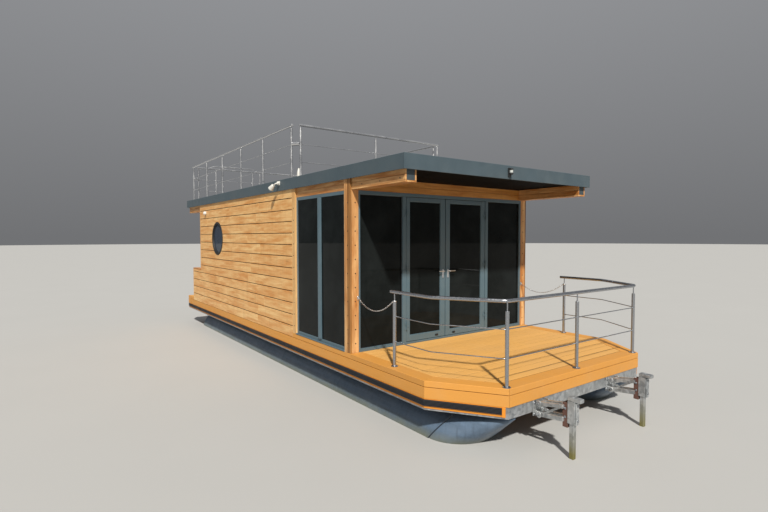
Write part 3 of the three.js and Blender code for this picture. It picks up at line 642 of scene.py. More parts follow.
def make_finishes(scene):
    """Builds the shared effects and every finish once."""
    timber, metal, floats = scene.houseboat_timber, scene.houseboat_metal, scene.houseboat_floats
    vector = {"Vector": "Vector"}
    Finish.effects = {
        "grain": effect("grain", build_grain, {**vector, "Tone": "Float"},
                        ["Cloud", "Rings", "Fibre", "Knots"]),
        "dirt": effect("dirt", build_dirt, vector, ["Patches", "Runs"]),
        "rub": effect("rub", build_rub, vector, ["Scuffs", "Broad"]),
    }
    pale, dark, deck, roof = (tuple(c) for c in (timber.cladding, timber.streak, timber.decking,
                                                 metal.roof))
    light, brown = "f2c68a", "b06c2c"
    timber_finish("cladding boards", ALONG, pale, dark, gap=(Y, HALF))
    timber_finish("screen lining boards", ALONG, pale, dark)
    timber_finish("cladding boards across", ACROSS, pale, dark)
    timber_finish("upright timber", UP, light, brown, rings=0.3)
    timber_finish("pale upright timber", UP, "f4cb8e", "d39f60")
    timber_finish("weathered upright timber", UP, "bd8848", "8c5c2c", rings=0.5, dirt=0.4)
    timber_finish("beam timber", ALONG, light, brown, rings=0.4)
    # a darker copy of the beam timber: painted shade of the roof's overhang on the header
    timber_finish("beam timber across with painted shade", ACROSS, "e0a355", "b06f2a", rings=0.4)
    timber_finish("structural timber", ALONG, "c9a070", "8c5d30")
    # near black: dark boards, darkened further as painted shade under the roof's overhang
    timber_finish("dark soffit boards with painted shade", ACROSS, "15120f", "0b0a08", dirt=0.04, rough=0.8, gloss=0.08)
    timber_finish("cabin floor boards", ALONG, "b08a63", "7a5533")
    decking_finish("deck boards", ACROSS, deck, gap=(Z, DECK))
    decking_finish("deck edge boards", ALONG, tuple(np.multiply(deck, (0.92, 0.78, 0.52))))
    decking_finish("fender boards", ALONG, "ee9420")
    metal_finish("roof edge sheet", roof, 0.25, 0.42, dirt=0.08, coat=0.1, bright=1.18)
    metal_finish("beam end sheet", shade(roof, 0.6), 0.25, 0.42, dirt=0.12)
    metal_finish("coated profiles", tuple(metal.profiles), 0.15, 0.38, scuff=0.1, dirt=0.08, coat=0.15)
    metal_finish("rusted channel", "583830", 0.2, 0.75, scuff=0.6, bright=1.6)
    metal_finish("dark screws", "1e140e", 0.3, 0.6)
    # Two copies of one steel: the darker is painted dark reflection, the paler is painted sunlight
    for name, colour, rough in (("stainless steel", "a9acb1", 0.2),
                                ("stainless steel painted sunlit", "d2d3d5", 0.24)):
        metal_finish(name, colour, 1.0, rough, scuff=0.1, dirt=0.05, bright=1.08, bump=0.01)
    galvanised_finish("galvanised steel")
    galvanised_finish("galvanised leg", wet=True)
    # near black and barely clear: painted shade of the dark cabin behind the glass
    glass_finish("cabin glass", "7f8a8c")
    glass_finish("porthole glass", "8fa3b8", body="36404e")
    float_finish("float plastic", tuple(floats.colour), (BOW - 0.871, 0.77))
    # near black: the membrane's own dark colour, darkened further as painted shade for the gaps in front of
    # it
    plain_finish("dark membrane", "0c0a09", 0.85)
    plain_finish("roof membrane", "56585b", 0.75, bump=0.3)
    plain_finish("black gasket", "141516", 0.55)
    plain_finish("fender rubber", "25272b", 0.38)
    plain_finish("cabin lining", "d5cfc3", 0.7)
    plain_finish("white lamp body", "cbc9c2", 0.35, Coat_Weight=0.2)
    plain_finish("black lamp body", "17181a", 0.4)
    plain_finish("pale lens", "d8dcd8", 0.15, Transmission_Weight=0.3)


# Floats and deck frame
def float_rings(radius, spacing):
    """One float. Round the section the height is the centre's less radius times the cosine of the angle,
    and the half width radius times its sine. Along it the tube has raised weld rings; ahead of the raked
    seam the width falls as a cosine while the length grows as a sine, so every level ends in a half
    ellipse at the stem."""
    low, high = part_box("float_starboard")
    angle = np.linspace(0, 2 * np.pi, 56, endpoint=False)
    centre_y, centre_z = (low.y + high.y) / 2, high.z - radius - 0.0046
    level = centre_z - radius * np.cos(angle)
    seam = BOW - 0.873 + 0.77 * level
    stem = BOW - 0.432 + 1.11 * level
    rings = []

    def ring(x, size, narrow=1.0):
        """Adds one section at x, which may differ with the level."""
        rings.append(np.stack([np.broadcast_to(x, angle.shape), centre_y + size * np.sin(angle) * narrow,
                               centre_z - size * np.cos(angle)], 1))

    for x, size in ((0.05, 0.6), (0.012, 0.8), (0, 0.95), (0.004, 1.0)):
        ring(low.x + x, radius * size)
    for x in np.arange(low.x + 0.9, BEND_X - 0.9, spacing):
        for shift, rise in ((-0.016, 0), (-0.01, 0.0035), (0.01, 0.0035), (0.016, 0)):
            ring(x + shift, radius + rise)
    nose = radius - 0.006
    for shift, size in ((-0.034, radius), (-0.026, radius + 0.0042), (-0.004, radius + 0.0042),
                        (0.004, nose)):
        ring(seam + shift, size)
    for turn in np.linspace(0, np.pi / 2, 15)[1:]:
        ring(seam + 0.004 + (stem - seam - 0.004) * np.sin(turn), nose, np.cos(turn))
    return np.array(rings)


class FloatsOperator(Operator):
    """Both floats with their weld rings"""
    bl_idname = "houseboat.floats"
    bl_label = "Floats"

    def execute(self, context):
        sizes = context.scene.houseboat_floats
        shells = Shells().pair(float_rings(sizes.radius, sizes.spacing), ends=(True, False))
        piece("floats", shells, "float plastic", "float", "float_starboard", "float_port", smooth=30,
              merge=1e-5)
        return {"FINISHED"}


class FrameOperator(Operator):
    """Galvanised channel frame under the deck"""
    bl_idname = "houseboat.frame"
    bl_label = "Deck frame"

    def execute(self, context):
        low, high = FRAME_BOTTOM, FRAME_TOP - 0.001
        channel = [(-0.012, low), (-0.012, high), (-0.07, high), (-0.07, high - 0.01), (-0.02, high - 0.01),
                   (-0.02, low + 0.01), (-0.07, low + 0.01), (-0.07, low)]
        shells = Shells().mitre(channel, edge_path(STERN), closed=True)
        for x in np.linspace(STERN, BOW, 11)[1:-1]:
            shells.bar(about(x, 0.03), (-HALF + 0.03, HALF - 0.03), (low + 0.04, high - 0.002), Y, 0.004)
        for y in (-BEARER_Y, BEARER_Y):
            shells.bar((STERN + 0.03, BOW - 0.03), about(y, 0.045), (low, high - 0.001), X, 0.004)
        saddles = (2.2, -0.4, -3.0)                   # plates between the bearers and the floats
        for x in saddles:
            shells.bar(about(x, 0.12), about(-BEARER_Y, 0.075), (low - 0.008, low), X, 0.002, both=True)
        piece("deck_channels", shells, "galvanised steel", "galvanised", "deck_frame")
        finish_node("structural timber", "floor_panel")
        return {"FINISHED"}


# Decks and their edges
class DecksOperator(Operator):
    """Deck boards, edge boards and the boards round the hull's edge"""
    bl_idname = "houseboat.decks"
    bl_label = "Decks and edges"

    def execute(self, context):
        low, top = DECK - BOARD, DECK - 0.0005
        field = Shells(3)
        bounds = np.linspace(POST_FRONT + 0.012, BOW - MARGIN,
                             context.scene.houseboat_timber.deck_boards + 1)
        bend, corner = edge_path(0, MARGIN)[1:3]

        def reach(x):
            """Half width of the field: the straight side, then the corner cut past the bend."""
            slant = bend[1] + (x - bend[0]) * (corner[1] - bend[1]) / (corner[0] - bend[0])
            return -np.where(x > bend[0], slant, bend[1])

        for x0, x1 in zip(bounds[:-1], bounds[1:] - 0.008):
            x = np.array([x0, bend[0], x1]) if x0 < bend[0] < x1 else np.array([x0, x1])
            field.add(plank(x, (-reach(x), reach(x)), (low, top), 0.0018, ALONG))
        sill = (POST_AFT + 0.001, POST_FRONT + 0.007)
        field.bar(sill, (-HALF + MARGIN, HALF - MARGIN), (low, DECK - 0.001), Y, 0.002)
        for y in (-HALF + BOARD, HALF - EDGE_BOARD):
            field.bar(sill, (y, y + 0.16), (low, DECK - 0.001), X, 0.002)
        for x0 in np.arange(STERN + 0.03, CABIN_AFT - 0.02, 0.145):
            x1 = min(x0 + 0.14, CABIN_AFT - 0.001)
            half = HALF - 0.03 if x1 < SCREEN_AFT else WALL_INNER - 0.002
            field.bar((x0, x1), (-half, half), (low, top), Y, 0.0025)
        piece("deck_boards", field, "deck boards", "decking", "foredeck_boards", "aft_deck_boards")

        edges = Shells(4)
        rounding = [(-0.003, DECK), (0, DECK - 0.003), (0, SPLIT + 0.001)]
        nose = [(-EDGE_BOARD, low), (-EDGE_BOARD, DECK), *rounding, (-0.026, SPLIT + 0.001), (-0.026, low)]
        edges.mitre(nose, edge_path(POST_FRONT + 0.012), 0.0025)
        slim = [(-0.027, SPLIT + 0.001), (-0.027, DECK), *rounding]
        edges.mitre(slim, [[TRIM_AFT, -HALF], [POST_FRONT + 0.011, -HALF]], sides=BOTH)
        end = SCREEN_AFT - 0.001
        edges.mitre(slim, [[end, HALF], [STERN, HALF], [STERN, -HALF], [end, -HALF]], 0.0025)
        foot = [(-0.026, FRAME_TOP), (-0.026, SPLIT - 0.007), (-0.002, SPLIT - 0.007), (0, SPLIT - 0.009),
                (0, FRAME_TOP + 0.002), (-0.002, FRAME_TOP)]
        path = edge_path(STERN)
        joints = [[-1.9, -HALF], [1.15, -HALF]]
        path = path[:1] + joints + path[1:-1] + [[x, -y] for x, y in joints[::-1]] + path[-1:]
        edges.mitre(foot, path, 0.0025, closed=True)
        piece("edge_boards", edges, "deck edge boards", "decking", "bow_fascia", "stern_fascia")

        bands, strips = Shells(5), Shells(6)
        bottom, top = FRAME_BOTTOM + 0.022, FRAME_TOP - 0.0005
        band = [(-0.0115, bottom), (-0.0115, top), (0, top), (0, bottom + 0.003), (-0.003, bottom)]
        block = [(-0.0115, bottom), (-0.0115, top), (0.007, top), (0.0095, top - 0.003),
                 (0.0095, bottom + 0.003), (0.007, bottom)]
        z0, z1 = bottom + 0.03, top - 0.008
        ribs, crest = 5, ((0.003, 0.0), (0.0135, 0.1), (0.0135, 0.5), (0.003, 0.6))
        rubber = [(out, z0 + (i + t) * (z1 - z0) / ribs) for i in range(ribs) for out, t in crest]
        rubber = [(0.0003, z0), *rubber, (0.003, z1), (0.0003, z1)]
        for side in BOTH:
            path = edge_path(STERN + 0.04, front=BOW - 0.06)
            bands.mitre(band, path, 0.002, sides=[side])
            strips.mitre(rubber, edge_path(STERN + 0.04, front=BOW - 0.062), sides=[side])
            bands.mitre(block, [path[-1], edge_path(STERN, front=BOW - 0.031)[-1]], sides=[side])
        piece("fender_bands", bands, "fender boards", "decking", "fender_timber_starboard",
              "fender_timber_port")
        piece("fender_strips", strips, "fender rubber", "rubber", "fender_rubber_starboard",
              "fender_rubber_port", smooth=50)
        return {"FINISHED"}


# Cabin walls
def row_boards(shells, x0, x1, z0, z1, y, hole):
    """One row of cladding with up to three butt joints, each drawn within 0.12 of the row's length of
    its even place. Where the row meets the round hole, board ends or edges follow the circle: x = centre
    -+ the root of radius squared less (z - centre) squared, or z likewise from x."""
    cx, cz, radius = hole
    joints = np.sort(x0 + (x1 - x0) * (np.array([0.0, 0.36, 0.72]) + shells.random.uniform(-0.12, 0.12, 3)))
    cuts = [x0] + [x for x in joints if x0 + 0.5 < x < x1 - 0.5 and abs(x - cx) > radius + 0.25] + [x1]
    for a, b in zip(cuts[:-1], np.array(cuts[1:]) - np.array([0.0025] * (len(cuts) - 2) + [0])):
        if not (a < cx < b and z1 > cz - radius and z0 < cz + radius):
            shells.pair(plank([a, b], (z0, z1), y))
        elif z0 > cz - radius and z1 < cz + radius:
            z = np.linspace(z0, z1, 9)
            bite = np.sqrt(radius ** 2 - (z - cz) ** 2)
            shells.pair(plank(z, (a, cx - bite), y, axes=(Z, X, Y)))
            shells.pair(plank(z, (cx + bite, b), y, axes=(Z, X, Y)))
        else:
            edge = z1 if z0 < cz - radius else z0
            half = math.sqrt(radius ** 2 - (edge - cz) ** 2)
            x = np.concatenate([[a], cx + half * np.cos(np.linspace(np.pi, 0, 17)), [b]])
            bite = np.sqrt(np.maximum(radius ** 2 - (x - cx) ** 2, 0))
            inside = np.abs(x - cx) <= half + 1e-9
            low = np.where(inside & (edge == z0), cz + bite, z0)
            high = np.where(inside & (edge == z1), cz - bite, z1)
            shells.pair(plank(x, (low, high), y))


def holed_plate(low, high, hole, front, back, steps=16):
    """A rectangular plate with a round hole, as a closed ring: at each angle one point lies on the circle
    and one on the rectangle's edge, at the front and at the back."""
    side = np.linspace(0, 1, steps, endpoint=False)
    a = np.concatenate([side, np.ones(steps), 1 - side, np.zeros(steps)])
    b = np.concatenate([np.zeros(steps), side, np.ones(steps), 1 - side])
    edge = np.stack([low[0] + (high[0] - low[0]) * a, low[1] + (high[1] - low[1]) * b], 1)
    centre = np.array(hole[:2])
    turn = np.arctan2(edge[:, 1] - centre[1], edge[:, 0] - centre[0])
    circle = centre + hole[2] * np.stack([np.cos(turn), np.sin(turn)], 1)
    flat = np.stack([circle, edge, edge, circle])
    depth = np.array([front, front, back, back])[:, None]
    return place(flat[..., 0], flat[..., 1], np.broadcast_to(depth, flat.shape[:2]), (X, Z, Y))


class CladdingOperator(Operator):
    """Cladding boards of the side walls, screens and aft wall, with the wall behind them"""
    bl_idname = "houseboat.cladding"
    bl_label = "Cladding"

    def execute(self, context):
        timber = context.scene.houseboat_timber
        face = (-HALF, -HALF + SKIN)
        skin = (CABIN_AFT, CABIN_AFT + SKIN)
        hole = (PORTHOLE.x, PORTHOLE.z, 0.359)        # centre and radius, just past the porthole's rim
        screen_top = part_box("aft_screen_starboard")[1].z
        under_cap, floor, head = screen_top - 0.028, DECK + 0.003, BEAM_BOTTOM - 0.003
        side, across, trims, inside = (Shells(seed) for seed in (11, 12, 15, 17))
        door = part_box("aft_door")
        door_y, door_top = (door[0].y - 0.006, door[1].y + 0.006), door[1].z + 0.006
        screen = (SCREEN_AFT + SKIN + 0.002, CABIN_AFT - 0.001)
        rows = [SPLIT + i * timber.pitch for i in range(13)] + [COVER_TOP + timber.gap]
        for z0, z1 in zip(rows[:-1], rows[1:]):
            z1 -= timber.gap
            aft = SCREEN_AFT if z1 < screen_top else CABIN_AFT
            row_boards(side, aft + SKIN + 0.002, TRIM_AFT - 0.002, z0, z1, face, hole)
            if z0 < screen_top - 0.04:
                inside.bar(screen, (-WALL_INNER - 0.02, -WALL_INNER), (max(z0, floor), min(z1, under_cap)),
                           cut=0.0025, both=True)
                if z1 > screen_top - 0.02:
                    side.bar(screen, face, (z0, under_cap), cut=0.0025, both=True)
            low, high = max(z0, floor), min(z1, head)
            if high - low <= 0.02:
                continue
            spans = [(-WALL_INNER + 0.001, WALL_INNER - 0.001)]
            if low < door_top:
                spans = [(-WALL_INNER + 0.001, door_y[0] - 0.07), (door_y[1] + 0.07, WALL_INNER - 0.001)]
            for y0, y1 in spans:
                joint = y0 + (y1 - y0) * across.random.uniform(0.3, 0.7)
                for y in [(y0, joint - 0.001), (joint + 0.001, y1)] if y1 - y0 > 1.2 else [(y0, y1)]:
                    across.bar(skin, y, (low, high), Y, 0.0025)
        piece("side_cladding", side, "cladding boards", "cladding", "wall_starboard", "wall_port",
              "aft_screen_starboard", "aft_screen_port")
        piece("screen_lining", inside, "screen lining boards", "cladding")
        piece("aft_cladding", across, "cladding boards across", "cladding", "wall_aft")

        for y0, y1, z in ((door_y[0] - 0.068, door_y[0], DECK + 0.002),
                          (door_y[1], door_y[1] + 0.068, DECK + 0.002),
                          (door_y[0] + 0.001, door_y[1] - 0.001, door_top + 0.001)):
            trims.bar((CABIN_AFT + 0.001, CABIN_AFT + 0.028), (y0, y1), (z, head), Z)
        for x, y1, z in ((SCREEN_AFT, -WALL_INNER, (SPLIT, screen_top - 0.027)),
                         (CABIN_AFT, -WALL_INNER, (screen_top + 0.001, BEAM_BOTTOM - 0.001)),
                         (CABIN_AFT, -HALF + 0.027, (BEAM_BOTTOM, COVER_TOP))):
            trims.bar((x + 0.0005, x + SKIN + 0.001), (-HALF, y1), z, Z, 0.0025, both=True)
        piece("door_trims", trims, "upright timber", "timber")
        caps = Shells(16).bar((SCREEN_AFT, CABIN_AFT - 0.001), (-HALF, -WALL_INNER),
                              (screen_top - 0.026, screen_top), cut=0.004, both=True)
        piece("screen_caps", caps, "beam timber", "timber")

        # The near-black membrane behind the boards is partly painted shade for the gaps between them.
        membrane, core = Shells(13), Shells(14)
        back = (-HALF + 0.021, -HALF + 0.027)
        low, high = (CABIN_AFT + 0.002, FRAME_TOP + 0.005), (TRIM_AFT - 0.003, COVER_TOP)
        membrane.pair(holed_plate(low, high, hole, *back))
        membrane.bar((SCREEN_AFT + 0.022, CABIN_AFT + 0.001), (-HALF + 0.021, -WALL_INNER - 0.021),
                     (DECK + 0.001, screen_top - 0.027), cut=0.001, both=True)
        membrane.bar((SCREEN_AFT + 0.002, CABIN_AFT + 0.001), back, (FRAME_TOP + 0.005, DECK), cut=0.001,
                     both=True)
        for y0, y1, z in ((-WALL_INNER + 0.002, door_y[0] - 0.001, DECK + 0.001),
                          (door_y[1] + 0.001, WALL_INNER - 0.002, DECK + 0.001),
                          (door_y[0] - 0.001, door_y[1] + 0.001, door_top)):
            membrane.bar((CABIN_AFT + 0.021, CABIN_AFT + 0.026), (y0, y1), (z, BEAM_BOTTOM - 0.002), Y,
                         0.001)
            core.bar((CABIN_AFT + 0.026, CABIN_AFT + 0.149), (y0, y1), (z, BEAM_BOTTOM - 0.002), Y, 0.001)
        core.bar((CABIN_AFT + 0.004, CABIN_AFT + 0.149), about(0, BETWEEN - 0.002),
                 (BEAM_BOTTOM - 0.002, SOFFIT - 0.002), Y, 0.001)
        low, high = (CABIN_AFT + 0.02, DECK + 0.002), (WINDOW_AFT - 0.001, BEAM_BOTTOM - 0.001)
        core.pair(holed_plate(low, high, hole, -HALF + 0.0285, -WALL_INNER))
        piece("wall_membrane", membrane, "dark membrane", "cladding")
        piece("wall_lining", core, "cabin lining", "interior")
        finish_node("cabin floor boards", "cabin_floor")
        return {"FINISHED"}


class PostsOperator(Operator):
    """Corner posts, trim boards, side beams and header, with their screws"""
    bl_idname = "houseboat.posts"
    bl_label = "Posts and beams"

    def execute(self, context):
        skin = -HALF + 0.028
        foot, top = DECK + 0.0005, BEAM_BOTTOM - 0.0005
        split = POST_AFT + 0.065
        posts = Shells(21)
        posts.bar((POST_AFT + 0.001, POST_FRONT - 0.029), (skin, POST_INNER), (foot, top), Z, 0.002,
                  both=True)
        posts.bar((POST_FRONT - 0.028, POST_FRONT), (skin + 0.001, POST_INNER), (foot, top), Z, both=True)
        posts.bar((POST_AFT, split), (-HALF, skin), (foot, COVER_TOP), Z, both=True, tone=0.0)
        for name, seed, finish, x, y in (
                ("corner_strips", 26, "weathered upright timber", (split + 0.001, POST_FRONT),
                 -HALF + 0.003),
                ("window_trims", 27, "pale upright timber", (TRIM_AFT, WINDOW_AFT - 0.0005), -HALF)):
            piece(name, Shells(seed).bar(x, (y, skin), (foot, COVER_TOP), Z, both=True), finish, "timber")
        piece("corner_boards", posts, "upright timber", "timber", "corner_post_starboard",
              "corner_post_port")

        low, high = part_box("side_beam_starboard")
        seam = BEAM_BOTTOM + 0.088
        beams, caps, header, screws = (Shells(seed) for seed in (22, 25, 23, 24))
        for y in ((low.y, low.y + 0.024), (high.y - 0.022, high.y)):
            for z in ((BEAM_BOTTOM + 0.023, seam - 0.0015), (seam + 0.0015, COVER_TOP)):
                beams.bar((low.x, high.x), y, z, cut=0.0025, both=True)
        beams.bar((low.x, high.x), (low.y, high.y), (BEAM_BOTTOM, BEAM_BOTTOM + 0.022), both=True)
        beams.bar((low.x + 0.02, high.x - 0.02), (low.y + 0.03, high.y - 0.03),
                  (BEAM_BOTTOM + 0.023, COVER_TOP - 0.002), cut=0.002, both=True)
        piece("side_beams", beams, "beam timber", "timber", "side_beam_starboard", "side_beam_port")
        for x in (low.x + 0.004, high.x - 0.014):
            caps.bar((x, x + 0.01), (low.y + 0.025, high.y - 0.023),
                     (BEAM_BOTTOM + 0.0235, COVER_TOP - 0.003), Z, 0.001, both=True)
        piece("beam_caps", caps, "beam end sheet", "anthracite")

        for x in ((POST_AFT, POST_AFT + 0.024), (POST_FRONT - 0.026, POST_FRONT)):
            for z in ((BEAM_BOTTOM, seam - 0.0015), (seam + 0.0015, SOFFIT - 0.0005)):
                header.bar(x, about(0, BETWEEN - 0.001), z, Y, 0.0025)
        header.bar((POST_AFT + 0.025, POST_FRONT - 0.027), about(0, BETWEEN - 0.005),
                   (BEAM_BOTTOM + 0.004, SOFFIT - 0.002), Y, 0.002)
        # the header uses the darker beam timber: painted shade
        piece("header_boards", header, "beam timber across with painted shade", "timber", "header_beam")

        head = [(AXIS, 0.0016), (0.0075, 0.0016), (0.0095, 0.0005), (0.0095, -0.004), (AXIS, -0.004)]
        rows = np.arange(DECK + 0.13, top - 0.04, 0.191)
        front, out = turned(head, axis=(1, 0, 0), sides=10), turned(head, axis=(0, -1, 0), sides=10)
        sides = ((-1, out), (1, out * [1, -1, 1]))
        for sign, turn in sides:
            screws.add(turn, at=[(POST_AFT + 0.083, sign * (HALF - 0.003), z) for z in rows])
            screws.add(turn, at=[(TRIM_AFT + 0.06, sign * HALF, z) for z in rows])
            screws.add(front, at=[(POST_FRONT, sign * (0.055 - POST_INNER), z) for z in rows])
        for x in np.arange(POST_FRONT + 0.25, high.x, 0.4):
            for sign, turn in sides:
                screws.add(turn, at=[(x, sign * -low.y, BEAM_BOTTOM + 0.055)])
        piece("board_screws", screws, "dark screws", "timber")
        return {"FINISHED"}


class RoofOperator(Operator):
    """Roof edge sheets, membrane laps, dark soffit boards and the cabin's ceiling"""
    bl_idname = "houseboat.roof"
    bl_label = "Roof"

    def execute(self, context):
        (x0, _, z0), (x1, y, z1) = ROOF_LOW, ROOF_HIGH
        profile = [(-0.022, z0 + 0.004), (-0.018, z0), (-0.002, z0), (0, z0 + 0.002), (0, z1 - 0.004),
                   (-0.004, z1), (-0.085, z1), (-0.088, z1 - 0.003), (-0.088, z1 - 0.007),
                   (-0.02, z1 - 0.007), (-0.02, z0 + 0.02), (-0.022, z0 + 0.02)]
        backing = [(-0.024, z0 + 0.03), (-0.024, z1 - 0.012), (-0.0225, z1 - 0.012), (-0.0225, z0 + 0.03)]
        stations = [x0, -3.2, -0.6, 2.126, x1]        # joints of the sheets
        sheet = Shells(31)
        sheet.mitre(profile, [[x, -y] for x in stations] + [[x, y] for x in stations[::-1]], 0.0016,
                    closed=True)
        sheet.mitre(backing, [[x0, -y], [x1, -y], [x1, y], [x0, y]], closed=True)
        piece("roof_edge", sheet, "roof edge sheet", "anthracite", "roof_fascia")
        laps = Shells(32)
        for x in np.arange(x0 + 1.1, x1 - 0.3, 1.05):
            laps.bar(about(x, 0.05), (-y + 0.1, y - 0.1), (ROOF_BASE - 0.001, ROOF_BASE + 0.0025), Y, 0.001)
        piece("roof_laps", laps, "roof membrane", "anthracite")
        finish_node("roof membrane", "roof_deck")

        low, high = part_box("ceiling_panel")
        y, boards = (low.y, high.y), Shells(33)
        for start, end in ((POST_FRONT + 0.002, high.x), (low.x, CABIN_AFT - 0.002)):
            edges = np.linspace(start, end, round((end - start) / 0.118) + 1)
            for a, b in zip(edges[:-1], edges[1:] - 0.004):
                boards.bar((a, b), y, (SOFFIT, SOFFIT + 0.012), Y, 0.002)
            boards.bar((start, end), y, (SOFFIT + 0.0095, SOFFIT + 0.0135), Y, 0.001)
        piece("soffit_boards", boards, "dark soffit boards with painted shade", "soffit", "ceiling_panel")
        ceiling = Shells(34).bar((CABIN_AFT, POST_FRONT), y, (SOFFIT + 0.001, SOFFIT + 0.0135), cut=0.001)
        piece("cabin_ceiling", ceiling, "cabin lining", "interior")
        return {"FINISHED"}


# Glazing
class WindowsOperator(Operator):
    """Side windows: outer frame, mullion, gaskets and sill"""
    bl_idname = "houseboat.windows"
    bl_label = "Side windows"

    def execute(self, context):
        low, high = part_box("window_frame_starboard")
        bars, seals = Shells(41), Shells(42)
        mullion = (BOW - 3.193, BOW - 3.101)
        z0, z1 = low.z + 0.06, high.z - 0.05
        face, set_back, stile = low.y, low.y + 0.02, 0.05
        for z in ((low.z, z0), (z1, high.z)):
            bars.bar((low.x, high.x), (set_back, high.y), z, both=True)
        for x, y, cut in (((low.x, low.x + stile), (set_back, high.y), 0.003),
                          ((high.x - stile, high.x), (set_back, high.y), 0.003),
                          (mullion, (face, face + 0.022), 0.003), (mullion, (face + 0.048, high.y), 0.003),
                          ((mullion[0] + 0.028, mullion[1] - 0.028), (face - 0.004, face + 0.002), 0.002)):
            bars.bar(x, y, (z0, z1), Z, cut, both=True)
        bars.bar((low.x, high.x), (-HALF - 0.006, set_back + 0.002), (low.z, low.z + 0.018), cut=0.004,
                 both=True)
        seal = [(-0.006, face + 0.027), (-0.004, face + 0.023), (0.001, face + 0.023),
                (0.001, face + 0.029), (-0.006, face + 0.029)]
        for a, b in ((low.x + stile, mullion[0]), (mullion[1], high.x - stile)):
            seals.pair(hoop((a, z0), (b, z1), seal), closed=True)
        piece("window_frames", bars, "coated profiles", "frame", "window_frame_starboard",
              "window_frame_port")
        piece("window_gaskets", seals, "black gasket", "frame")
        finish_node("cabin glass", "window_glass_starboard", "window_glass_port")
        return {"FINISHED"}


def light_edges(bars, seals, low, high, face):
    """Bead and gasket round one light that faces forward; face is the outer face of its profile."""
    bead = [(-0.006, 0.014), (-0.004, 0.009), (0.002, 0.009), (0.002, 0.024), (-0.006, 0.024)]
    gasket = [(-0.010, 0.0215), (-0.006, 0.0175), (0.001, 0.0175), (0.001, 0.026), (-0.010, 0.026)]
    for shells, profile in ((bars, bead), (seals, gasket)):
        shells.add(hoop(low, high, [(out, face - deep) for out, deep in profile], (Y, Z, X)), closed=True)


LEAF, FIXED = ((0, 0.04),), ((-0.04, -0.0003), (0.0403, 0.08))   # knuckles about a hinge's level


def knuckles(shells, x, y, sign, spans):
    """Turned knuckles with their flaps at every hinge level; the flaps leave the pin towards the sign."""
    for level in HINGE_LEVELS:
        for z in ((level + a, level + b) for a, b in spans):
            shells.add(turned(drum(0.008, *z, 0.001), (x, y, 0), sides=16))
            shells.bar((x - 0.011, x - 0.006), sorted((y, y + sign * 0.045)), z, Z, 0.001)


def lever(shells, face, y, sign, out=1):
    """Plate, rose, lever and lock of a door handle; the lever leaves its rose and turns towards the
    sign."""
    axis = (out, 0, 0)
    shells.bar(sorted((face - out * 0.001, face + out * 0.008)), about(y, 0.016),
               (HANDLE - 0.105, HANDLE + 0.025), Z)
    rose = [(AXIS, 0.007), (0.013, 0.007), (0.013, 0.013), (0.011, 0.016), (AXIS, 0.016)]
    shells.add(turned(rose, (face, y, HANDLE), axis))
    end = face + out * 0.048
    path = [(face + out * 0.006, y, HANDLE), (end, y, HANDLE), (end, y + sign * 0.114, HANDLE)]
    shells.add(tube(rounded(path, 0.018), 0.0085, 14))
    lock = [(AXIS, 0.007), (0.008, 0.007), (0.009, 0.0085), (0.009, 0.0105), (AXIS, 0.0105)]
    shells.add(turned(lock, (face, y, HANDLE - 0.07), axis, sides=16))


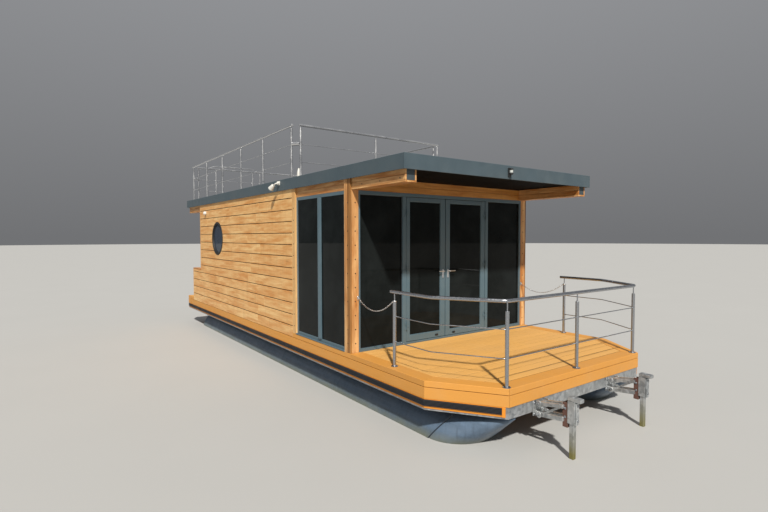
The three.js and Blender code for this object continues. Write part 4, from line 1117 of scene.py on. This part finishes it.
class FrontOperator(Operator):
    """Front glazing: fixed frame and the two door leaves with beads, gaskets, hinges, levers and catches"""
    bl_idname = "houseboat.front"
    bl_label = "Front glazing and doors"

    def execute(self, context):
        low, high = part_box("front_frame")
        depth, jamb, edge = (GLAZING - 0.08, GLAZING), 0.065, 0.03
        top, sill, sill_top = high.z - 0.05, low.z + 0.03, low.z + 0.04
        bars, seals = Shells(51), Shells(52)
        bars.bar(depth, (low.y, high.y), (top, high.z), Y)
        bars.bar(depth, (low.y, high.y), (low.z, sill), Y, 0.002)
        for a, b in ((low.y + edge, DOORWAY[0] - jamb), (DOORWAY[1] + jamb, high.y - edge)):
            bars.bar(depth, (a, b), (sill, sill_top), Y, 0.001)
            light_edges(bars, seals, (a, sill_top), (b, top), GLAZING)
        for y in ((low.y, low.y + edge), (DOORWAY[0] - jamb, DOORWAY[0]), (DOORWAY[1], DOORWAY[1] + jamb),
                  (high.y - edge, high.y)):
            bars.bar(depth, y, (sill, top), Z)
        # Side, hinge pin, way of the leaf from it, widths of the hinge stile and the lock stile
        leaves = (("starboard", DOORWAY[0] + 0.003, 1, 0.066, 0.096),
                  ("port", DOORWAY[1] - 0.003, -1, 0.094, 0.09))
        for _, pin, sign, _, _ in leaves:
            knuckles(bars, GLAZING + PIN_OUT, pin, -sign, FIXED)
        piece("front_profiles", bars, "coated profiles", "frame", "front_frame")
        piece("front_gaskets", seals, "black gasket", "frame")

        for side, pin, sign, narrow, wide in leaves:
            bars, seals, steel, catch = (Shells(seed) for seed in (54, 55, 56, 57))
            body = "door_" + side
            (_, y0, z0), (_, y1, z1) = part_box(body)
            x0, x1 = GLAZING - 0.06, GLAZING - 0.004
            hinge, meet = pin + sign * 0.003, y1 if sign > 0 else y0
            inner = (hinge + sign * narrow, meet - sign * wide)
            light = sorted(inner)
            for y in ((hinge, inner[0]), (inner[1], meet)):
                bars.bar((x0, x1), sorted(y), (z0, z1), Z)
            for z in ((z0, z0 + 0.09), (z1 - 0.06, z1)):
                bars.bar((x0, x1), light, z, Y)
            light_edges(bars, seals, (light[0], z0 + 0.09), (light[1], z1 - 0.06), x1)
            knuckles(bars, GLAZING + PIN_OUT, pin, sign, LEAF)
            lever(steel, x1, meet - sign * wide * 0.5, -sign)
            y = meet - sign * 0.175
            catch.bar((x1 - 0.001, x1 + 0.006), about(y, 0.03), (DECK + 0.06, DECK + 0.088), Y, 0.002)
            catch.bar((x1 + 0.005, x1 + 0.013), (y - 0.02, y + 0.008), (DECK + 0.067, DECK + 0.081), Y,
                      0.002)
            piece(f"door_profiles_{side}", bars, "coated profiles", "frame", body, body=body)
            piece(f"door_gasket_{side}", seals, "black gasket", "frame", body=body)
            piece(f"door_handle_{side}", steel, "stainless steel painted sunlit", "steel", body=body)
            piece(f"door_catch_{side}", catch, "black lamp body", "rubber", body=body)
            finish_node("cabin glass", f"door_glass_{side}", f"front_pane_{side}")
        return {"FINISHED"}


class AftDoorOperator(Operator):
    """Aft door: framed panel below, light above, hinges and lever"""
    bl_idname = "houseboat.aft_door"
    bl_label = "Aft door"

    def execute(self, context):
        low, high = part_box("aft_door")
        (_, a, glass_low), (_, b, glass_high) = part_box("aft_door_glass")
        a, b, glass_low, glass_high = a - 0.0003, b + 0.0003, glass_low - 0.0003, glass_high + 0.0003
        x0, x1 = CABIN_AFT + 0.004, CABIN_AFT + 0.06
        edge, hinge = 1.134, 1.137
        bars, seals, steel, jambs = (Shells(seed) for seed in (61, 62, 63, 64))
        for y in ((low.y, a), (b, edge)):
            bars.bar((x0, x1), y, (low.z, high.z), Z)
        panel = (low.z + 0.16, glass_low - 0.12)
        for z in ((low.z, panel[0]), (panel[1], glass_low), (glass_high, high.z)):
            bars.bar((x0, x1), (a, b), z, Y)
        bars.bar((x0 + 0.014, x1 - 0.014), (a, b), panel, Y, 0.001)
        for y in np.linspace(a, b, 8)[1:-1]:
            bars.bar((x0 + 0.010, x0 + 0.016), about(y, 0.004), panel, Z, 0.001)
        seal = [(-0.016, x0 + 0.014), (-0.010, x0 + 0.006), (0.002, x0 + 0.006), (0.002, x0 + 0.017),
                (-0.016, x0 + 0.017)]
        seals.add(hoop((a, glass_low), (b, glass_high), seal, (Y, Z, X)), closed=True)
        knuckles(bars, CABIN_AFT - PIN_OUT, hinge, -1, LEAF)
        lever(steel, x0, low.y + 0.05, 1, out=-1)
        knuckles(jambs, CABIN_AFT - PIN_OUT, hinge, 1, FIXED)
        piece("aft_door_leaf", bars, "coated profiles", "frame", "aft_door", body="aft_door")
        piece("aft_door_gasket", seals, "black gasket", "frame", body="aft_door")
        piece("aft_door_lever", steel, "stainless steel painted sunlit", "steel", body="aft_door")
        piece("aft_door_hinges", jambs, "coated profiles", "frame")
        finish_node("cabin glass", "aft_door_glass")
        return {"FINISHED"}


class PortholesOperator(Operator):
    """Portholes: a turned rim with bolts through the wall and slightly dished glass"""
    bl_idname = "houseboat.portholes"
    bl_label = "Portholes"

    def execute(self, context):
        rims, bolts = Shells(71), Shells(72)
        x, z = PORTHOLE.x, PORTHOLE.z
        outer = [(0.330, -0.152), (0.330, 0.004), (0.333, 0.009), (0.340, 0.0115), (0.366, 0.0115),
                 (0.373, 0.008), (0.375, 0.0005), (0.3545, 0.0002), (0.3545, -0.152)]
        inner = [(0.316, -0.018), (0.322, -0.006), (0.331, -0.006), (0.331, -0.019)]
        for profile in (outer, inner):
            rims.pair(turned(profile, (x, -HALF, z), (0, -1, 0), 72), closed=True)
        head = [(AXIS, 0.004), (0.004, 0.004), (0.0065, 0.0025), (0.0075, 0), (0.0075, -0.003),
                (AXIS, -0.003)]
        turn = np.linspace(0, 2 * np.pi, 12, endpoint=False)
        for sign in (-1, 1):
            at = [(x + 0.353 * math.cos(a), sign * (HALF + 0.0115), z + 0.353 * math.sin(a)) for a in turn]
            bolts.add(turned(head, axis=(0, sign, 0), sides=12), at=at)
        piece("porthole_rings", rims, "black gasket", "anthracite", "porthole_rim_starboard",
              "porthole_rim_port", smooth=40)
        piece("porthole_bolts", bolts, "dark screws", "anthracite")
        finish_node("porthole glass", "porthole_glass_starboard", "porthole_glass_port")
        return {"FINISHED"}


# Rails
def rail_post(bars, fittings, x, y, base, shoulder, top, r):
    """A post of radius r with a turned shoulder and pin, a flange with a weld and four screws."""
    shaft = [(r, base + 0.004), (r, shoulder - 0.004), (r - 0.003, shoulder), (AXIS, shoulder)]
    flange = [(0.044, 0), (0.044, 0.0055), (0.0415, 0.008), (r + 0.006, 0.008), (r + 0.003, 0.011),
              (r, 0.015), (AXIS, 0.015)]
    bars.add(turned(shaft, (x, y, 0), sides=24))
    bars.add(turned([(0.007, shoulder - 0.002), (0.007, top)], (x, y, 0), sides=14))
    fittings.add(turned([(out, base + up) for out, up in flange], (x, y, 0), sides=32))
    head = turned([(0.0045, 0.0), (0.0045, 0.0015), (0.003, 0.0035), (AXIS, 0.0035)], sides=10)
    reach = 0.033 * 0.707
    fittings.add(head, at=[(x + a * reach, y + b * reach, base + 0.0075)
                           for a, b in ((1, 1), (-1, 1), (1, -1), (-1, -1))])


def rod_holder(fittings, post, way, z, radius):
    """The small turned holder where a rod leaves a post."""
    start = np.array([*post, z]) + np.append(way, 0) * (radius - 0.004)
    profile = [(AXIS, 0), (0.0105, 0), (0.0105, 0.012), (0.0095, 0.014), (0.0065, 0.015), (AXIS, 0.015)]
    fittings.add(turned(profile, start, (*way, 0), 16))


def rail_parts(metal, line, posts, base, pin, rods, near=0.03):
    """Handrail, posts, flanges, rods and rod holders of one level section. A rod runs from the first post
    to the last by way of the line's bends, and has a holder on each side of a post that it passes or
    meets."""
    bars, fittings = Shells(81), Shells(82)
    line = np.array(line, float)
    top = line[0, 2]
    bars.add(tube(rounded(line, 0.05), metal.tube, 24, cut=0.003))
    for x, y in posts:
        rail_post(bars, fittings, x, y, base, top - pin, top - metal.tube * 0.8, metal.tube)
    flat = np.array([posts[0], *line[1:-1, :2], posts[-1]])
    for z in rods:
        stops = np.column_stack([flat, np.full(len(flat), z)])
        bars.add(tube(rounded(stops, 0.04), metal.rod, 12, cut=0.001))
        for post in np.array(posts):
            ways = []
            for a, b in zip(flat[:-1], flat[1:]):
                length = np.linalg.norm(b - a)
                way = (b - a) / length
                t = np.dot(post - a, way)
                if np.linalg.norm(a + way * np.clip(t, 0, length) - post) < near:
                    ways += [way] * bool(t < length - near) + [-way] * bool(t > near)
            for way in ways:
                rod_holder(fittings, post, way, z, metal.tube)
    return bars, fittings


class ForedeckRailOperator(Operator):
    """Foredeck rail with its posts, rods and flanges"""
    bl_idname = "houseboat.foredeck_rail"
    bl_label = "Foredeck rail"

    def execute(self, context):
        metal = context.scene.houseboat_metal
        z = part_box("foredeck_rail")[1].z - metal.tube
        end, bend, nose, corner = BOW - 1.492, BOW - 0.77, BOW - 0.055, 1.325
        line = [(end, -RAIL_Y, z), (bend, -RAIL_Y, z), (nose, -corner, z), (nose, corner, z),
                (bend, RAIL_Y, z), (end, RAIL_Y, z)]
        posts = [(RAIL_POST, -RAIL_Y), (nose, -corner + 0.012), (nose, -0.04), (nose, corner - 0.04),
                 (RAIL_POST, RAIL_Y)]
        rods = (DECK + 0.304, DECK + 0.615)
        bars, fittings = rail_parts(metal, line, posts, base=DECK + 0.0003, pin=0.105, rods=rods)
        # the darker steel copy: painted dark reflection
        piece("foredeck_rail_bars", bars, "stainless steel", "steel", "foredeck_rail")
        piece("foredeck_rail_fittings", fittings, "stainless steel", "steel")
        return {"FINISHED"}


class RoofRailOperator(Operator):
    """The roof rail's four sections, its corner blocks and the raised bar at the stern"""
    bl_idname = "houseboat.roof_rail"
    bl_label = "Roof rail"

    def execute(self, context):
        metal = context.scene.houseboat_metal
        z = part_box("roof_rail_front")[1].z - metal.tube
        rods = (ROOF_HIGH.z + 0.27, ROOF_HIGH.z + 0.56)
        side_x = [1.087, -0.121, -1.273, -2.445, -3.617, -4.766]
        front, front_y = 1.215, [-1.685, -0.178, 1.32]
        stern, stern_y = -4.88, [-1.64, -1.41, -1.18, -0.155, 0.06, 1.27]
        sections = {}
        for name, y in (("starboard", -1.79), ("port", 1.335)):
            sections[name] = [(1.149, y, z), (-4.828, y, z)], [(x, y) for x in side_x]
        for name, x, ends, places in (("front", front, (-1.71, 1.345), front_y),
                                      ("stern", stern, (-1.665, 1.295), stern_y)):
            sections[name] = [(x, y, z) for y in ends], [(x, y) for y in places]
        corners = {"starboard": ((front, front_y[0]), (stern, stern_y[0])),
                   "port": ((front, front_y[-1]), (stern, stern_y[-1]))}
        for name, (line, posts) in sections.items():
            bars, fittings = rail_parts(metal, line, posts, base=ROOF_BASE + 0.0003, pin=0.04, rods=rods)
            if name == "stern":
                raised = [(stern, y, z + rise) for y, rise in zip(stern_y[1:5], (0, 0.08, 0.08, 0))]
                bars.add(tube(rounded(raised, 0.08), 0.015, 18))
            for start, end in zip((posts[0], posts[-1]), corners.get(name, ())):
                way = np.subtract(end, start)
                stop = start + way * (1 - 0.02 / np.linalg.norm(way))
                fittings.add(tube([(*start, z - 0.3), (*stop, z - 0.3)], 0.03, 16, cut=0.003))
            piece(f"roof_rail_bars_{name}", bars, "stainless steel painted sunlit", "steel", f"roof_rail_{name}")
            piece(f"roof_rail_fittings_{name}", fittings, "stainless steel painted sunlit", "steel")
        return {"FINISHED"}


class ChainsOperator(Operator):
    """Gate chains of welded links, with an eye on each corner post and a shackle at the rail"""
    bl_idname = "houseboat.chains"
    bl_label = "Gate chains"

    def execute(self, context):
        length = context.scene.houseboat_metal.link
        bar, sag = 0.0022, 0.148
        start = np.array([POST_FRONT + 0.012, -1.722, DECK + 0.745])
        end = np.array([RAIL_POST - 0.026, -RAIL_Y, DECK + 0.798])
        line = sagging(start, end, sag, 400)
        run = np.concatenate([[0], np.cumsum(np.linalg.norm(np.diff(line, axis=0), axis=1))])
        count = int(run[-1] / (length - 3.2 * bar))
        marks = (np.arange(count) + 0.5) * run[-1] / count
        centres, ahead = (np.stack([np.interp(at, run, line[:, i]) for i in range(3)], 1)
                          for at in (marks, marks + 0.004))
        turn = np.linspace(0, 2 * np.pi, 20, endpoint=False)
        half, wide = length / 2 - bar, 0.0066
        oval = np.stack([np.sign(np.cos(turn)) * (half - wide) + wide * np.cos(turn), wide * np.sin(turn),
                         0 * turn], 1)
        link = tube(oval, bar, 8, closed=True)
        shells = Shells(91)
        for i, way in enumerate(ahead - centres):
            way = way / np.linalg.norm(way)
            side = np.cross(way, (0, 0, 1))
            side /= np.linalg.norm(side)
            lean = math.pi / 4 + math.pi / 2 * (i % 2)
            across = math.cos(lean) * side + math.sin(lean) * np.cross(side, way)
            shells.pair(link @ np.stack([way, across, np.cross(way, across)]) + centres[i], closed=True)
        shells.bar((POST_FRONT + 0.0003, POST_FRONT + 0.0045), about(start[1], 0.015),
                   about(start[2], 0.03), Z, 0.0012, both=True)
        eye = np.stack([0.009 + 0.011 * np.cos(turn), 0 * turn, 0.011 * np.sin(turn)], 1)
        shells.pair(tube(eye + start - [0.009, 0, 0], 0.003, 10, across=(0, 1, 0), closed=True),
                    closed=True)
        shackle = [(0.0225, -0.008), (0.0225, 0.008), (0.0245, 0.006), (0.0245, -0.006)]
        shells.pair(turned(shackle, (RAIL_POST, -RAIL_Y, end[2]), sides=24), closed=True)
        piece("gate_chains", shells, "stainless steel painted sunlit", "steel", "gate_chain_starboard",
              "gate_chain_port", smooth=60)
        return {"FINISHED"}


class LampsOperator(Operator):
    """Wall lamp, floodlight, navigation light and the roof's vent cone"""
    bl_idname = "houseboat.lamps"
    bl_label = "Lamps and vent"

    def execute(self, context):
        def lathe(seed, profile, centre, axis=(0, 0, 1), sides=28):
            """One turned shell by itself."""
            return Shells(seed).add(turned(profile, centre, axis, sides))

        centre = sum(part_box("wall_lamp"), Vector((0, 0, 0))) / 2
        dome = [(AXIS, 0.069), (0.018, 0.067), (0.032, 0.058), (0.041, 0.043), (0.0435, 0.028),
                (0.045, 0.024), (0.045, 0.004), (0.041, 0.0005), (AXIS, 0.0005)]
        piece("wall_lamp_dome", lathe(101, dome, (centre.x, -HALF, centre.z), (0, -1, 0), 32),
              "white lamp body", "lamp", "wall_lamp", smooth=50)

        low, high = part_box("floodlight")
        side, x = ROOF_LOW.y, high.x - 0.03
        body = Shells(102).bar(about(x, 0.03), (side - 0.012, side - 0.0005), (low.z + 0.1, high.z))
        base = [(AXIS, 0), (0.026, 0), (0.03, 0.012), (0.027, 0.03), (0.016, 0.04), (AXIS, 0.04)]
        body.add(turned(base, (x, side - 0.01, low.z + 0.135), (0, -1, 0), 24))
        aim = Vector((-0.72, -0.25, -0.62)).normalized()
        neck = Vector((x, side - 0.045, low.z + 0.13))
        head = Vector(((low.x + x) / 2 - 0.012, low.y + 0.062, low.z + 0.072))
        body.add(tube(rounded([neck, neck + Vector((-0.01, -0.03, -0.01)), head], 0.02), 0.011, 14))
        shell = [(AXIS, -0.05), (0.02, -0.05), (0.032, -0.042), (0.036, -0.02), (0.046, 0.03),
                 (0.047, 0.042), (0.044, 0.045), (0.0425, 0.04), (AXIS, 0.039)]
        body.add(turned(shell, head, aim, 28))
        piece("floodlight_body", body, "white lamp body", "lamp", "floodlight", smooth=45)
        lens = [(AXIS, 0.0395), (0.0415, 0.0395), (0.040, 0.0425), (AXIS, 0.044)]
        piece("floodlight_lens", lathe(103, lens, head, aim), "pale lens", "lamp", smooth=45)

        low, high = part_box("navigation_light")
        front, y = ROOF_HIGH.x, -0.072
        levels = (low.z + 0.028, low.z + 0.052, high.z - 0.034, high.z - 0.012)
        nav = Shells(104).bar((front + 0.0004, front + 0.02), about(y, 0.026), (low.z, high.z), Z)
        for span in (levels[:2], levels[2:]):
            nav.add(turned(drum(0.026, *span, 0.002), (front + 0.04, y, 0), sides=28))
        piece("navigation_light_body", nav, "black lamp body", "rubber", "navigation_light")
        piece("navigation_light_lens", lathe(105, drum(0.0225, *levels[1:3]), (front + 0.04, y, 0)),
              "pale lens", "lamp", smooth=45)

        low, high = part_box("roof_vent")
        cone = [(0.044, 0), (0.044, 0.012), (0.036, 0.018), (0.035, 0.07), (0.030, 0.12), (0.021, 0.165),
                (0.010, 0.192), (0.003, 0.199), (AXIS, 0.2)]
        vent = lathe(106, cone, ((low.x + high.x) / 2, (low.y + high.y) / 2, low.z), sides=32)
        piece("vent_cone", vent, "white lamp body", "lamp", "roof_vent", smooth=50)
        return {"FINISHED"}


class LegsOperator(Operator):
    """Brackets, sleeves and sliding legs at the bow, with their bolts"""
    bl_idname = "houseboat.legs"
    bl_label = "Mooring legs"

    def execute(self, context):
        bolt = [(AXIS, 0.009), (0.008, 0.009), (0.0095, 0.0075), (0.0095, 0.002), (0.014, 0.002),
                (0.014, -0.004), (AXIS, -0.004)]
        boss = [(AXIS, 0.0), (0.03, 0.0), (0.034, 0.003), (0.034, 0.009), (0.03, 0.012), (AXIS, 0.012)]
        x, back = LEG_X, LEG_X - 0.097
        pivots = (0.49, 0.372)                        # heights of the two pivot rods
        outer, inner, sleeve_low, sleeve_top = 0.039, 0.031, 0.37, 0.606
        for side in ("starboard", "port"):
            low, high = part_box("leg_bracket_" + side)
            leg_low, leg_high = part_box("leg_" + side)
            y = (low.y + high.y) / 2
            steel, rust, bolts, leg = (Shells(seed) for seed in (111, 112, 113, 114))
            steel.bar((BOW - 0.0117, BOW), about(y, 0.11), (low.z + 0.03, FRAME_TOP - 0.004), Y)
            for sign in (-1, 1):
                arm = y + sign * 0.048
                for start, end, levels, deep, wide in (
                        (PIVOT, back + 0.02, (0.49, 0.535), 0.021, 0.015),
                        (PIVOT, back + 0.02, (0.372, 0.402), 0.024, 0.015),
                        (PIVOT + 0.03, back - 0.01, (0.385, 0.522), 0.013, 0.007)):
                    z = np.array(levels)
                    steel.add(plank([start, end], (z - deep, z + deep), about(arm, wide),
                                    0.003 if wide > 0.01 else 0.002))
                out = sign * 0.022
                for z in pivots:
                    ear = sorted((arm + out, arm + out * 0.72))
                    steel.bar((BOW - 0.001, PIVOT + 0.022), ear, about(z, 0.032))
                    steel.add(turned(boss, (PIVOT, arm + out * 0.98, z), (0, sign, 0), 28))
                    bolts.add(turned(bolt, (PIVOT, arm + out * 1.6, z), (0, sign, 0), 16))
            for z in pivots:
                steel.add(tube([(PIVOT, y - 0.066, z), (PIVOT, y + 0.066, z)], 0.0175, 20))
            for a, b, c, d in ((-outer, outer, -outer, -inner), (-outer, outer, inner, outer),
                               (-outer, -inner, -inner, inner), (inner, outer, -inner, inner)):
                steel.bar((x + a, x + b), (y + c, y + d), (sleeve_low, sleeve_top), Z, 0.0015)
            steel.bar((x + outer, x + outer + 0.018), about(y, 0.024),
                      (sleeve_low - 0.005, sleeve_top - 0.008), Z)
            for z in (0.41, 0.565):
                bolts.add(turned(bolt, (x + outer + 0.0195, y, z), (1, 0, 0), 16))
            for a, c, d in ((back, -0.035, -0.028), (back, 0.028, 0.035),
                            (x - outer - 0.008, -0.028, 0.028)):
                rust.bar((a, x - outer), (y + c, y + d), (0.32, 0.58), Z, 0.0015)
            for sign in (-1, 1):
                for z in (0.43, 0.52):
                    bolts.add(turned(bolt, (back + 0.03, y + sign * 0.0365, z), (0, sign, 0), 16))
                for z in (0.37, 0.49):
                    bolts.add(turned(bolt, (BOW + 0.0015, y + sign * 0.093, z), (1, 0, 0), 16))
            piece(f"leg_bracket_steel_{side}", steel, "galvanised steel", "galvanised",
                  f"leg_bracket_{side}")
            piece(f"leg_bracket_channel_{side}", rust, "rusted channel", "galvanised")
            piece(f"leg_bracket_bolts_{side}", bolts, "stainless steel", "galvanised")
            foot = leg_low.z
            leg.bar(about(x, 0.025), about(y, 0.025), (foot + 0.011, leg_high.z), Z, 0.004)
            leg.bar((x - 0.04, x + 0.105), about(y, 0.035), (sleeve_top + 0.0003, sleeve_top + 0.04),
                    cut=0.004)
            leg.bar(about(x, 0.075), about(y, 0.075), (foot, foot + 0.012))
            piece(f"leg_bar_{side}", leg, "galvanised leg", "galvanised", f"leg_{side}", body=f"leg_{side}")
        return {"FINISHED"}


class StageOperator(Operator):
    """Floor at the waterline, soft light and the camera"""
    bl_idname = "houseboat.stage"
    bl_label = "Stage"

    def execute(self, context):
        scene = context.scene
        stage = scene.houseboat_stage
        disc = turned([(radius, 0.0) for radius in (0.02, 8.0, 20.0, 60.0, 160.0)], sides=64)
        shells = Shells().add(disc, ends=(True, False), tone=0.5)
        mesh = bpy.data.meshes.new("floor")
        mesh.from_pydata(np.concatenate(shells.points).tolist(), [], shells.faces)
        floor = bpy.data.objects.new("floor", mesh)
        f = Finish("floor", stage.floor, Roughness=0.85)
        f.lay(noise(f.tree, f.at, 0.6, 2.0, 0.55), shade(stage.floor, 0.96))
        mesh.materials.append(f.done())
        scene.collection.objects.link(floor)

        scene.world = bpy.data.worlds.new("studio")
        scene.world.use_nodes = True
        tree = scene.world.node_tree
        sky = tree.nodes["Background"]
        apart = wire(tree, "SeparateXYZ", {0: wire(tree, "TexCoord")}).node.outputs
        colour = colour_mix(tree, ramp(tree, apart[Z], 0.0, 0.6), (0.5, 0.51, 0.53), (0.98, 1.0, 1.05))
        tree.links.new(colour, sky.inputs["Color"])
        sky.inputs["Strength"].default_value = stage.fill
        scene.view_settings.view_transform = "Standard"

        light = bpy.data.lights.new("key", "SUN")
        light.energy = stage.key
        light.angle = math.radians(2.5)
        light.color = (1.0, 0.96, 0.89)
        key = bpy.data.objects.new("key", light)
        key.rotation_euler = SUNLIGHT.to_track_quat("-Z", "Y").to_euler()
        scene.collection.objects.link(key)

        camera = bpy.data.objects.new("camera", bpy.data.cameras.new("camera"))
        camera.data.lens = LENS
        camera.data.sensor_width = 36.0
        camera.data.clip_start = 0.05
        camera.data.clip_end = 500.0
        right = Vector((0.58977589, 0.80756589, -0.00131444))
        down = Vector((0.03169201, -0.02477143, -0.99919067))
        look = Vector((-0.80694486, 0.58925691, -0.04020298))
        turn = Matrix((right, -down, -look)).transposed()
        camera.matrix_world = Matrix.Translation(CAMERA_AT) @ turn.to_4x4()
        scene.collection.objects.link(camera)
        scene.camera = camera
        return {"FINISHED"}


OPERATORS = (
    FloatsOperator, FrameOperator, DecksOperator, CladdingOperator, PostsOperator, RoofOperator,
    WindowsOperator, FrontOperator, AftDoorOperator, PortholesOperator, ForedeckRailOperator,
    RoofRailOperator, ChainsOperator, LampsOperator, LegsOperator, StageOperator,
)
GROUPS = {
    "houseboat_timber": HouseboatTimber, "houseboat_metal": HouseboatMetal,
    "houseboat_floats": HouseboatFloats, "houseboat_stage": HouseboatStage,
}


class HouseboatPanel(Panel):
    """Lists the houseboat's sizes and its steps"""
    bl_idname = "VIEW3D_PT_houseboat"
    bl_label = "Houseboat"
    bl_space_type = "VIEW_3D"
    bl_region_type = "UI"
    bl_category = "Houseboat"

    def draw(self, context):
        for group in GROUPS:
            sizes = getattr(context.scene, group)
            for name in sizes.__annotations__:
                self.layout.prop(sizes, name)
        for step in OPERATORS:
            self.layout.operator(step.bl_idname)


CLASSES = (*GROUPS.values(), *OPERATORS, HouseboatPanel)


def register():
    """Makes the classes known to Blender and hangs the groups of sizes on the scene."""
    for cls in CLASSES:
        bpy.utils.register_class(cls)
    for name, cls in GROUPS.items():
        setattr(bpy.types.Scene, name, PointerProperty(type=cls))


def unregister():
    """Takes back what register did, in the other order."""
    for name in GROUPS:
        delattr(bpy.types.Scene, name)
    for cls in reversed(CLASSES):
        bpy.utils.unregister_class(cls)


def main():
    """Builds the whole part."""
    register()
    make_finishes(bpy.context.scene)
    for step in OPERATORS:
        group, name = step.bl_idname.split(".")
        getattr(getattr(bpy.ops, group), name)()


if __name__ == "__main__":
    main()
